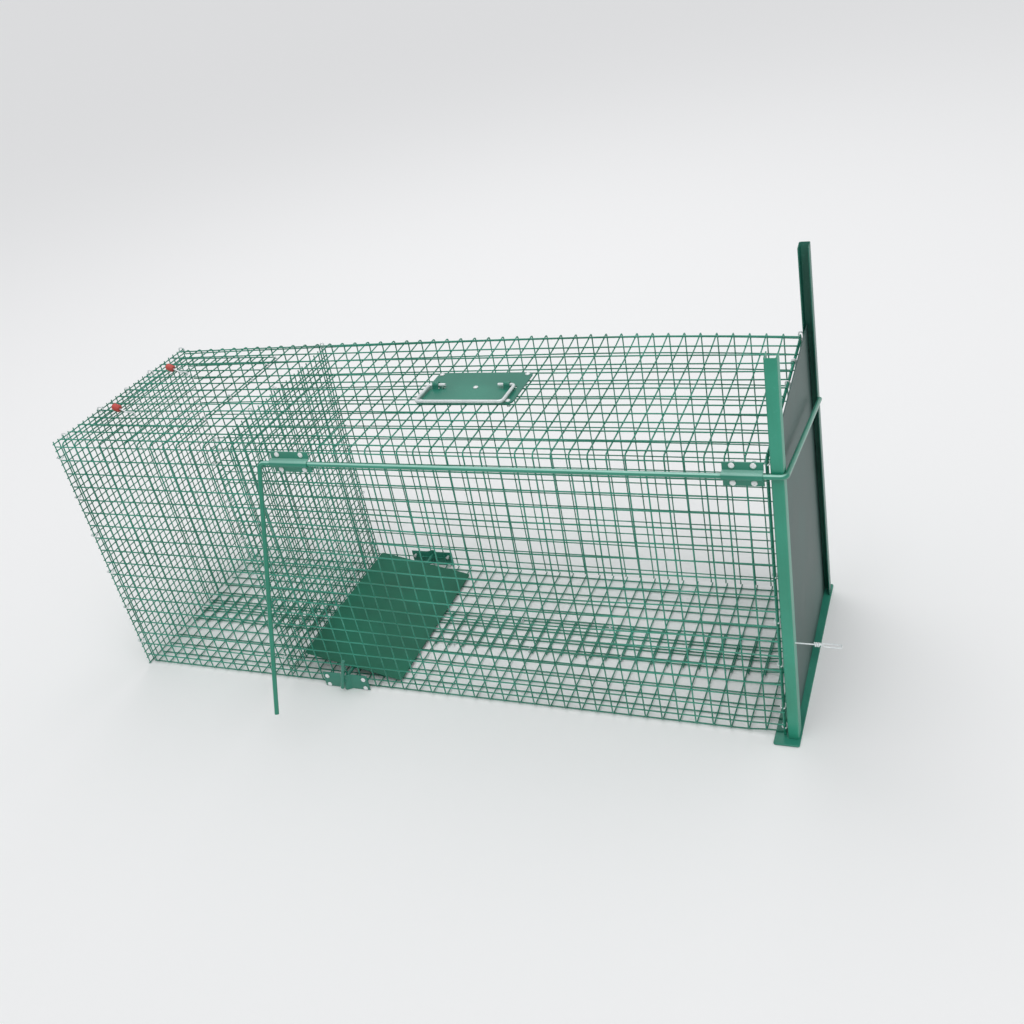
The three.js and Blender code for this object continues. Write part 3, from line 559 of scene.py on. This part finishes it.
def sleeve_panel(name, ways, first, last, node_name, sides=8):
    """A panel of the sleeve: its long wires, and its cross wires from one way round to another."""
    runs = [(x, first, last) for x in cross_x]
    parts = strands(sleeve, long_runs(ways), cross_x, LONG_LIFT, cross=False, sides=sides)
    parts += strands(sleeve, runs, ways, CROSS_LIFT, sides=sides)
    many = len(woven(name, parts, node_name).data.polygons)
    print(name, len(ways), "long wires,", len(cross_x), "cross wires,", many, "faces")


sleeve_panel("near_side_wires", near_way, 0, TALL, "near_side_mesh")
sleeve_panel("far_side_wires", far_way, STARTS[2], STARTS[3], "far_side_mesh", 6)

# %% [markdown]
# The top has the bait hatch cut out of it. A wire that would cross the opening is cut at its
# edge, so it becomes two shorter runs.


# %% Top panel with the hatch
LONG_STUB, CROSS_STUB, EDGE = 1.4, 1.6, 3


def cut(runs, over, hole, stub):
    """Runs with a hole in the sheet. A wire whose place lies inside over, by more than EDGE, ends
    at both edges of the hole, each time with a stub past the edge's wire."""
    left = []
    for place, first, last in runs:
        if over[0] + EDGE < place < over[1] - EDGE:
            left += [(place, first, hole[0] + stub), (place, hole[1] - stub, last)]
        else:
            left.append((place, first, last))
    return left


hatch_x = (38.1, 241.3)
hatch_way = (TALL + PITCH * 2.45, TALL + PITCH * 11.45)
top_long = cut(long_runs(top_way), hatch_way, hatch_x, LONG_STUB)
top_cross = cut([(x, TALL, TALL + WIDE) for x in cross_x], hatch_x, hatch_way, CROSS_STUB)
parts = strands(sleeve, top_long, cross_x, LONG_LIFT, cross=False)
parts += strands(sleeve, top_cross, top_way, CROSS_LIFT)
woven("top_wires", parts, "top_mesh")
print("top:", len(top_long), "long runs,", len(top_cross), "cross runs")

# %% [markdown]
# On the floor the two edges of the sheet overlap by nearly four cells. Both layers are drawn:
# the near one runs to 216 mm and the far one back to 125 mm, with its wires a little aside.

# %% Floor with its lap
INSET, LONG_ASIDE, CROSS_ASIDE = 2.0, 7.5, 2.6
lap_near, lap_far = END - 216.0, END - 125.0
near_ways = floor_way[floor_way > lap_near - 2]
far_ways = floor_way[floor_way < lap_far] - LONG_ASIDE
near_cross = [(x, lap_near, END) for x in cross_x]
far_cross = [(x + CROSS_ASIDE, STARTS[3], lap_far) for x in cross_x[:-1]]
far_cross.append((cross_x[-1], STARTS[3], lap_far))
parts = []
for ways in (near_ways, far_ways):
    parts += strands(sleeve, long_runs(ways, INSET), cross_x, LONG_LIFT, cross=False, sides=6)
for runs, ways in ((near_cross, near_ways), (far_cross, far_ways)):
    parts += strands(sleeve, runs, ways, CROSS_LIFT, sides=6)
woven("floor_wires", parts, "floor_mesh")
print("floor:", len(near_ways) + len(far_ways), "long wires")

# %% [markdown]
# ## Flat panels: rear, partition and lid
#
# These stay flat. The lid is cut from the sleeve's mesh, but the rear panel and the partition
# are of a finer one, with cells of half the size. A flat sheet needs only the place of its plane
# and which way its two sets of wires run.


# %% Rear and partition
def across_sheet(x0):
    """A sheet across the trap: (y, z, lift) becomes a point at x0 - lift, waving by 0.4 mm."""

    def form(y, z, lift):
        y, z, lift = np.broadcast_arrays(y, z, lift)
        wave = 0.4 * np.sin(y / 41 + z / 67) * np.sin(z / 53)
        return np.stack([x0 - lift + wave, y, z], -1)

    return form


def across_panel(x0, ys, zs, low, high, near, far):
    """Upright wires at ys from low to high, and level wires to their rear at zs, from near to
    far. The upper and the far ends are uneven."""
    form = across_sheet(x0)
    uprights = [(y, low, high + e) for y, e in zip(ys, uneven.uniform(-0.6, 0.6, len(ys)))]
    levels = [(z, near, far + e) for z, e in zip(zs, uneven.uniform(-0.8, 0.8, len(zs)))]
    parts = strands(form, uprights, zs, -FINE_LIFT, radius=FINE_WIRE, sides=6)
    parts += strands(form, levels, ys, FINE_LIFT, cross=False, radius=FINE_WIRE, sides=6)
    return parts


FINE, FINE_WIRE, FINE_LIFT = PITCH / 2, 1.0, 0.95
REAR, PARTITION = -3.75, 304.8
rear_y = FINE * (np.arange(28) + 0.82)
rear_y[-1] = WIDE + 0.6
rear_y = np.concatenate([[-0.6], rear_y])
rear_z = FINE * (np.arange(37) + 0.04) + 0.8
parts = across_panel(REAR, rear_y, rear_z, low=0.6, high=463.0, near=-1.8, far=WIDE + 1.8)
woven("rear_wires", parts, "rear_mesh")

part_y = np.concatenate([[4.0], FINE * (np.arange(1, 28) + 0.1), [WIDE - 4.0]])
part_z = 6.4 + FINE * np.arange(36)
parts = across_panel(PARTITION, part_y, part_z, low=5.4, high=457.4, near=3.0, far=WIDE - 3.0)
woven("partition_wires", parts, "partition_mesh")
print("rear and partition ready")

# %% [markdown]
# The lid lies on the top and overlaps the opening by half a cell at its near and its far side.
# Its front wire is the hinge: it turns inside the hog rings.

# %% Lid
LID = 465.2


def lid_form(x, y, lift):
    """A flat sheet whose lower wires lie at the hinge's height: (x, y, lift) becomes a point at
    LID + lift, waving by a quarter of a millimetre."""
    x, y, lift = np.broadcast_arrays(x, y, lift)
    return np.stack([x, y, LID + lift + 0.25 * np.sin(x / 37) * np.sin(y / 29)], -1)


# The lid's edge wires lie on whole cells, and every wire ends just past the ones it crosses.
LID_REAR, LID_NEAR, UPPER_LIFT = 1.5 * PITCH, 2 * PITCH, 2.0
lid_x = LID_REAR + PITCH * np.arange(9)
lid_y = LID_NEAR + PITCH * np.arange(11)
parts = strands(lid_form, [(x, 49.6, 306.0) for x in lid_x], lid_y, 0.0)
parts += strands(lid_form, [(y, 36.8, 242.6) for y in lid_y], lid_x, UPPER_LIFT, cross=False)
woven("hatch_lid_wires", parts, "hatch_lid_mesh", "lid")
print("lid:", len(lid_x), "x", len(lid_y), "wires")

# %% [markdown]
# ## Round bars
#
# The release rod, the hoop behind the posts, the treadle's axle and the bail are bent round
# bars. A bar is a circle carried along a path whose corners are arcs. The rod's arm points 5 mm
# to the rear at its end, like the door that it lies in front of.


# %% Bars
def bar(path, diameter, aside, sides=20):
    """A round bar: a circle carried along a path that lies in one plane."""
    return carry(path, circle(diameter / 2, sides), aside)


ROD_Y, ROD_Z, ROD_BEND = -9.5, 440.0, 8.5
LEVER, ARM, ARM_REARWARDS = 392, 336, 0.015
swing, drop = np.radians(22.5), np.radians(10.6)
rod_rear = np.array([396.1, ROD_Y, ROD_Z])
rod_front = np.array([1166.8, ROD_Y, ROD_Z])
lever_end = rod_rear + LEVER * np.array([0, -np.sin(swing), -np.cos(swing)])
arm_end = rod_front + ARM * np.array([-ARM_REARWARDS, np.cos(drop), -np.sin(drop)])


def twice_bent(path, diameter):
    """A bar whose bends lie in different planes. Each half is carried with its own side vector,
    and the halves meet on the straight run between the bends."""
    middle = (path[1] + path[2]) / 2
    halves = []
    for corners in ((path[0], path[1], middle), (middle, path[2], path[3])):
        normal = np.cross(corners[1] - corners[0], corners[2] - corners[1])
        normal /= np.linalg.norm(normal)
        halves.append(bar(bent(corners, ROD_BEND, 9), diameter, normal))
    return halves


rod = twice_bent([lever_end, rod_rear, rod_front, arm_end], 7.0)
piece("bent_release_rod", rod, "release_rod", rod_enamel, ["release_rod"], 50)

hoop_x, hoop_in, hoop_foot, hoop_crown = 1141.8, 4.65, 3.4, 456.3
near_leg = [(hoop_x, hoop_in, hoop_foot), (hoop_x, hoop_in, hoop_crown)]
far_leg = [(x, WIDE - y, z) for x, y, z in reversed(near_leg)]
hoop = bar(bent(near_leg + far_leg, 12), 4.4, X, 14)
piece("door_hoop", [hoop], "cage", post_enamel, ["front_hoop"], 50)

axle_x, axle_z, crank_y, far_end = 419.1, 21.0, -14, WIDE + 13.15
AXLE, CRANK_FOOT, CRANK_HEAD, CRANK_TILT = 6.0, 13, 49, np.radians(17)
crank = np.array([np.sin(CRANK_TILT), 0, np.cos(CRANK_TILT)])
near_end = np.array([axle_x, crank_y, axle_z])
axle = [
    bar([near_end, (axle_x, far_end, axle_z)], AXLE, Z),
    bar([near_end - CRANK_FOOT * crank, near_end + CRANK_HEAD * crank], AXLE, Y),
]
piece("axle_and_crank", axle, "treadle", strap_enamel, ["treadle_axle"], 50)

bail_x, bail_y, bail_z = 670.0, 186.5, 470.7
bail_corners = [(-44, 0), (-71, 0), (-71, -55), (71, -55), (71, 0), (44, 0)]
bail = bar(bent([(bail_x + x, bail_y + y, bail_z) for x, y in bail_corners], 6), 5.0, Z)
piece("zinc_bail", [bail], "carry_bail", zinc, ["carry_bail"], 50)
print("rod, hoop, axle and bail ready")

# %% [markdown]
# ## Folded sheet
#
# Saddles, brackets and posts are strips of sheet folded in a press. The sheet's cut section, a
# thin rectangle with eased edges, is carried along the fold line.


# %% Folded pieces
SHEET = 1.5


def strip(path, thick, low, high, aside):
    """Sheet folded along a path: a thin rounded rectangle from low to high along aside."""
    shift = np.array([0, (low + high) / 2])
    return carry(path, rounded(thick, high - low, min(thick * 0.3, 0.5), 3) + shift, aside)


def saddle_path():
    """The fold over the rod, seen from the door: a flange, half a turn round the rod, a flange."""
    flange, radius = -3.4, 4.75
    turn = np.linspace(np.pi / 2, -np.pi / 2, 13)
    ridge = [(ROD_Y - radius * np.cos(t), radius * np.sin(t)) for t in turn]
    upper = [(flange, 17), (flange, 6.6), (flange - 0.7, 5.6)]
    lower = [(y, -z) for y, z in reversed(upper)]
    return np.array([(0, y, ROD_Z + z) for y, z in upper + ridge + lower])


for name, x, long in (("rear_rod_saddle", 449.1, 65.0), ("front_rod_saddle", 1113.0, 52.0)):
    part = strip(saddle_path(), SHEET, x - long / 2, x + long / 2, X)
    piece(name + "_strap", [part], "cage", saddle_enamel, [name])


def bracket_path(y, side):
    """The treadle bracket from above: a flat strip with one upright fold for the axle."""
    flat, fold = 3.4, 6
    corners = [(-42.5, flat), (-9, flat), (0, flat + fold), (9, flat), (42.5, flat)]
    return bent([(axle_x + x, y + side * off, 0) for x, off in corners], 2.0, 5)


for name, y, side in (("near_treadle_bracket", 0, -1), ("far_treadle_bracket", WIDE, 1)):
    part = strip(bracket_path(y, side), SHEET, low=0.3, high=30.0, aside=Z)
    piece(name + "_strip", [part], "cage", strap_enamel, [name])

ON_SILL = 3.3
post_rear, post_front, post_web, post_lips = 1147.75, 1162.25, 0.75, 20
channel = [(post_rear, post_lips), (post_rear, post_web)]
channel += [(post_front, post_web), (post_front, post_lips)]
# The far post takes the darker enamel with the painted shade.
posts = (("near_door_post", -5, 1, post_enamel), ("far_door_post", WIDE + 5, -1, shaded_far_post_enamel))
for name, y, side, paint in posts:
    path = bent([(x, y + side * off, 0) for x, off in channel], 2.2, 6)
    part = strip(path, SHEET, low=ON_SILL, high=POST_TOP, aside=Z)
    piece(name + "_channel", [part], "cage", paint, [name])
print("folded pieces ready")

# %% [markdown]
# ## Flat plates
#
# The door, the sill and the treadle are cut plates with slightly rounded corners. Each is its
# outline carried through the sheet's thickness, a little smaller at both faces so that the cut
# edge catches the light. The door is also twisted a little, to follow the leaning far post.


# %% Plates
def plate(wide, high, thick, radius, ease=0.35):
    """An outline carried through a thickness: four sections, the outer two smaller by the ease."""
    levels = [(-thick / 2, ease), (-thick / 2 + ease, 0), (thick / 2 - ease, 0), (thick / 2, ease)]
    sections = []
    for height, inset in levels:
        line = rounded(wide - 2 * inset, high - 2 * inset, max(radius - inset, 0.2), 6)
        sections.append(np.column_stack([line, np.full(len(line), height)]))
    return wrap(np.stack(sections))


def laid(part, origin, first, second):
    """A plate moved so that its outline lies on two directions through an origin."""
    points, faces = part
    third = np.cross(first, second)
    return np.asarray(origin) + points @ np.stack([first, second, third]), faces


HALF_TRAVEL_LEAN = 2.9


def slid_in(part):
    """The door as it lies in a leaning channel: x falls by (LEAN z / POST_TOP + HALF_TRAVEL_LEAN)
    y / WIDE. The second term is half the lean over the door's travel, so that the raised edge
    stays in the channel too."""
    points, faces = part
    aside = points[:, 1] / WIDE
    back = (LEAN * points[:, 2] / POST_TOP + HALF_TRAVEL_LEAN) * np.clip(aside, 0, 1)
    return points - back[:, None] * X, faces


door_high = 479.0
door_middle = (1155.0, WIDE / 2, ON_SILL + door_high / 2)
door = plate(wide=360.6, high=door_high, thick=SHEET, radius=2.0)
door = slid_in(laid(door, door_middle, Y, Z))
# The door's enamel carries the painted reflection of a grey floor.
piece("door_sheet", [door], "door", door_sheen_enamel, ["drop_door"])

sill = plate(wide=37.0, high=391.6, thick=3.0, radius=3.0, ease=0.6)
sill = laid(sill, (1146.5, WIDE / 2, 1.5), X, Y)
piece("sill_foot", [sill], "cage", strap_enamel, ["sill_plate"])

treadle_low, treadle_high = node_box("treadle_plate")
tilt_angle = np.radians(12.2)
level = np.array([np.cos(tilt_angle), 0, -np.sin(tilt_angle)])
upright = np.array([np.sin(tilt_angle), 0, np.cos(tilt_angle)])
on_axle = np.array([axle_x, (treadle_low[1] + treadle_high[1]) / 2, axle_z])
from_axle = 3.3 + SHEET / 2
treadle_mid = on_axle + upright * from_axle
treadle = laid(plate(wide=182.0, high=305.0, thick=SHEET, radius=5.0), treadle_mid, level, Y)
piece("treadle_sheet", [treadle], "treadle", treadle_enamel, ["treadle_plate"])
print("treadle middle", np.round(treadle_mid, 1))

# %% [markdown]
# Two straps are pressed up out of the handle plate to hold the bail, each over its own window,
# and a narrow slot is left beside each. The plate is a table of cells from which the openings'
# cells are left out, and a wall is drawn wherever a kept cell meets an empty one. The table's
# outer lines follow the plate's rounded corners.

# %% Handle plate
plate_low, plate_top = 463.6, 465.6
plate_x, plate_y = 674.0, 186.5
half_long, half_wide, round_by = 80, 50, 8
straight_x, straight_y = half_long - round_by, half_wide - round_by
strap_mid = np.array([-59.5, 59.5]) + bail_x - plate_x

# A window under each strap and a slot beside it, as (x from, x to, y from, y to) from the middle.
openings = [(m - 5, m + 5, -2.8, 2.8) for m in strap_mid]
openings += [(m + 11, m + 14, -5, 5) for m in strap_mid]
edges_x = [edge for opening in openings for edge in opening[:2]]
corner_x = straight_x + round_by * np.sin(np.linspace(0, np.pi / 2, 5))
lines_x = np.unique(np.concatenate([-corner_x, corner_x, edges_x, [0]]))

# The lines along the plate are shares of its half width.
lines_v = np.array([-50, -25, -5, -2.8, 2.8, 5, 25, 50]) / half_wide
x_table, v_table = np.meshgrid(lines_x, lines_v, indexing="ij")
in_corner = np.clip(np.abs(x_table) - straight_x, 0, round_by)
reach_y = straight_y + np.sqrt(np.clip(round_by**2 - in_corner**2, 0, None))
y_table = v_table * np.where(np.abs(v_table) > 0.2, reach_y, half_wide)
middle_x = (lines_x[:-1] + lines_x[1:]) / 2
middle_y = (lines_v[:-1] + lines_v[1:]) / 2 * half_wide
kept = np.ones((len(middle_x), len(middle_y)), bool)
for x0, x1, y0, y1 in openings:
    inside_x = (middle_x > x0) & (middle_x < x1)
    inside_y = (middle_y > y0) & (middle_y < y1)
    kept &= ~(inside_x[:, None] & inside_y[None])


def perforated(xs, ys, keep, low, high):
    """A plate of cells: a face above and below each kept cell, and a wall where it meets none."""
    n, m = xs.shape
    at = np.arange(n * m).reshape(n, m)
    layers = [np.stack([xs, ys, np.full_like(xs, z)], -1).reshape(-1, 3) for z in (low, high)]
    i, j = np.nonzero(keep)
    corners = np.stack([at[i, j], at[i + 1, j], at[i + 1, j + 1], at[i, j + 1]], 1)
    faces = [corners + n * m, corners[:, ::-1]]
    padded = np.pad(keep, 1)
    for di, dj, a, b in ((0, -1, 0, 1), (1, 0, 1, 2), (0, 1, 2, 3), (-1, 0, 3, 0)):
        open_side = ~padded[i + 1 + di, j + 1 + dj]
        one, two = corners[open_side, a], corners[open_side, b]
        faces.append(np.stack([one, two, two + n * m, one + n * m], 1))
    return np.concatenate(layers), [f for f in faces if len(f)]


def pressed_strap(x):
    """A strap over the bail's wire: two legs and a half round top, 10 mm along the wire."""
    foot, arch, thick, half = 5.6, 3.8, 1.7, 5
    turn = np.linspace(0, np.pi, 11)
    top = np.stack([arch * np.cos(turn), bail_z + arch * np.sin(turn)], 1)
    leg = np.array([(foot, plate_low + 0.9), (arch, bail_z - 1.5)])
    line = np.concatenate([leg, top, leg[::-1] * (-1, 1)])
    path = np.column_stack([np.full(len(line), x), bail_y + line[:, 0], line[:, 1]])
    return strip(path, thick, -half, half, X)


base = perforated(x_table + plate_x, y_table + plate_y, kept, plate_low, plate_top)
parts = [base] + [pressed_strap(plate_x + m) for m in strap_mid]
piece("handle_plate_and_straps", parts, "cage", strap_enamel, ["handle_plate"])
print("handle plate:", int(kept.sum()), "cells kept of", kept.size)

# %% [markdown]
# ## Rivets
#
# Blind rivets hold every strap to the mesh: a low bright dome outside and a rolled tail inside.
# The dome is a turned profile. The CAD nodes give the places, and one piece takes over a row.


# %% Rivets
def rivet(node_name, axis):
    """A dome on the outer side of a node's box along an axis, and a tail on the inner side."""
    low, high = node_box(node_name)
    middle = (low + high) / 2
    half = (high - low)[np.argmax(np.abs(axis))] / 2
    seat, head = half - 2.0, 4.1
    turn = np.linspace(0, np.pi / 2, 7)[:-1]
    tail = [(0.01, -half), (2.2, -half), (2.9, -half + 0.5), (2.9, -half + 1.2)]
    tail += [(2.0, -half + 1.5), (2.0, seat), (head, seat)]
    dome = [(head * np.cos(t) ** 0.8, seat + 0.25 + 1.6 * np.sin(t)) for t in turn]
    dimple = [(1.3, seat + 1.75), (1.0, seat + 1.3), (0.01, seat + 1.2)]
    return spin(tail + dome + dimple, middle, axis, 16)


rows = {
    "rear_rod_saddle": (-Y, 4),
    "front_rod_saddle": (-Y, 4),
    "near_treadle_bracket": (-Y, 4),
    "far_treadle_bracket": (Y, 4),
    "handle_plate": (Z, 5),
}
for owner, (axis, many) in rows.items():
    names = [f"{owner}_rivet_{i + 1}" for i in range(many)]
    parts = [rivet(name, axis) for name in names]
    piece(owner + "_rivets", parts, "cage", rivet_metal, names, 40)
print("rivets:", sum(many for _, many in rows.values()))

# %% [markdown]
# ## Hog rings
#
# The panels are laced together with hog rings, short bits of zinc wire squeezed shut with pliers
# round two wires. A ring is an open oval whose ends pass by a little. Those of the CAD model are
# taken over one by one, and the many that it leaves out are added here.


# %% Rings
RING_WIRE, MOUTH = 1.0, 1.2


def ring(middle, wide, high, first, second, skew):
    """An open oval on two directions: half axes wide and high, a superellipse of power 3, with
    the mouth on the low side of the second direction and its ends passing by the skew."""
    normal = np.cross(first, second)
    open_angle = np.arcsin(min(MOUTH / wide, 0.6))
    turn = np.linspace(-np.pi / 2 + open_angle, 1.5 * np.pi - open_angle, 33)
    c, s = np.cos(turn), np.sin(turn)
    radial = (np.abs(c) ** 3 + np.abs(s) ** 3) ** (-1 / 3)
    flat = radial[:, None] * (wide * c[:, None] * first + high * s[:, None] * second)
    apart = np.linspace(-skew, skew, len(turn))
    path = np.asarray(middle) + flat + apart[:, None] * normal
    return carry(path, circle(RING_WIRE, 8), normal)


def node_ring(name, second):
    """A ring in the place of a CAD ring, with half axes from the node's own box. It lies in the
    plane of X and a second direction, Y or Z."""
    low, high = node_box(name)
    half = (high - low) / 2 - RING_WIRE
    return ring((low + high) / 2, half[0], half @ second, X, second, 0.6)


groups = {
    "rear_side_ring": (2, Y),
    "front_side_ring": (3, Y),
    "hatch_hinge_ring": (5, Z),
    "rear_top_ring": (1, Z),
    "front_top_ring": (2, Z),
}
for owner, (many, second) in groups.items():
    names = [f"{owner}_{i + 1}" for i in range(many)]
    parts = [node_ring(name, second) for name in names]
    piece(owner + "s", parts, "cage", zinc, names, 50)

lap_rings = ((560, 131), (660, 205), (700, 131), (820, 205), (860, 131), (980, 205), (1030, 131))

# Each row gives places, two half axes, two directions and the skew.
more = (
    ([(-2.6, 0, cells * PITCH + 2.5) for cells in (17, 11, 8, 2)], 5.2, 4.2, X, Y, 0.8),
    ([(-2.6, y, 460.2) for y in (26, 119, 261, 353)], 5.2, 4.4, X, Z, 0.5),
    ([(1142.2, 3.0, z) for z in (453, 283, 134, 20)], 3.3, 5.2, X, Y, 0.5),
    ([(1142.2, y, 458.6) for y in (273, 351)], 3.3, 5.6, X, Z, 0.5),
    ([(305.0, y, 458.6) for y in (22, 120, 196, 348)], 3.2, 5.0, X, Z, 0.5),
    ([(305.0, 2.2, z) for z in (430, 362, 290, 222, 120, 50)], 3.0, 4.6, X, Y, 0.5),
    ([(305.0, WIDE - 2.2, z) for z in (400, 300, 160)], 3.0, 4.6, X, Y, 0.5),
    ([(x, y, 4.4) for x, y in lap_rings], 4.6, 3.4, Y, Z, 0.5),
)
extra = [ring(middle, *shape) for middles, *shape in more for middle in middles]
piece("more_hog_rings", extra, "cage", zinc, sharp=50)
print("rings:", sum(many for many, _ in groups.values()) + len(extra))

# %% [markdown]
# ## Hooks, caps and the locking pin
#
# Two wire hooks hold the lid shut. Each has an eye round a wire of the lid and a tail that
# climbs to a red rubber cap. The pin is one wire doubled back into a loop, with its end wound
# round the shank.

# %% Hooks and caps
climb, eye_radius, tail_long, cap_from = np.radians(25), 3.1, 20, 13.3
rearwards = np.array([-np.cos(climb), 0, np.sin(climb)])
bore, cap_radius, dome_foot, dome_rise = 1.6, 6.0, 9.5, 5.5
for name, y in (("near", 50.8 + 1.75 * PITCH), ("far", 50.8 + 7.75 * PITCH)):
    centre = np.array([88.9, y, LID])
    turn = np.radians(np.linspace(-150, 90, 19))
    eye = centre + eye_radius * np.stack([np.cos(turn), 0 * turn, np.sin(turn)], 1)
    knee = centre + (-12, 0, eye_radius)
    tail = bent([eye[-1], knee, knee + tail_long * rearwards], 6)
    wire = bar(np.concatenate([eye, tail[1:]]), 2.5, Y, 12)
    body = f"{name}_hook"
    piece(f"{name}_hook_wire", [wire], body, zinc, [f"{name}_hatch_hook"], 50)
    turn = np.linspace(0, np.pi / 2, 8)[1:-1]
    shape = [(0.01, 9.0), (bore, 9.0), (bore, 0.2), (2.2, 0), (5.4, 0), (cap_radius, 0.6)]
    shape += [(cap_radius, dome_foot)]
    shape += [(cap_radius * np.cos(t), dome_foot + dome_rise * np.sin(t)) for t in turn]
    shape += [(0.01, dome_foot + dome_rise)]
    cap = spin(shape, knee + cap_from * rearwards, rearwards, 24)
    piece(f"{name}_rubber_cap", [cap], body, red_rubber, [f"{name}_hook_cap"], 50)

# %% Locking pin
pin_y, pin_z = 4.0, 172.0
neck, wire_wide, winds, wind_step, wind_radius = 1197.0, 2.0, 3.2, 2.3, 2.25
loop = [(8, -3.5), (27, -3.5), (27, 3.5), (7, 3.5), (-1, 1.6)]
corners = [(1156.5, 0), (neck, 0)] + [(neck + x, y) for x, y in loop]
shank = bar(bent([(x, pin_y + y, pin_z) for x, y in corners], 1.8), wire_wide, Z, 10)
turns = np.linspace(0, winds * 2 * np.pi, 90)
across_pin = pin_y + wind_radius * np.cos(turns)
up_pin = pin_z + wind_radius * np.sin(turns)
coil = np.stack([neck - 1 - wind_step * turns / (2 * np.pi), across_pin, up_pin], 1)


def coiled(path, diameter):
    """A wire wound round the pin's straight line. Across points away from the line, and aside is
    at right angles to it and to the wire."""
    step = np.gradient(path, axis=0)
    step /= np.linalg.norm(step, axis=1, keepdims=True)
    across = (path - np.array([0, pin_y, pin_z])) * (0, 1, 1)
    across /= np.linalg.norm(across, axis=1, keepdims=True)
    aside = np.cross(step, across)
    u, v = circle(diameter / 2, 10).T
    skin = across[:, None] * u[None, :, None] + aside[:, None] * v[None, :, None]
    return wrap(path[:, None] + skin)


parts = [shank, coiled(coil, wire_wide)]
piece("wire_pin", parts, "locking_pin", zinc, ["locking_pin"], 50)
print("hooks, caps and pin ready")
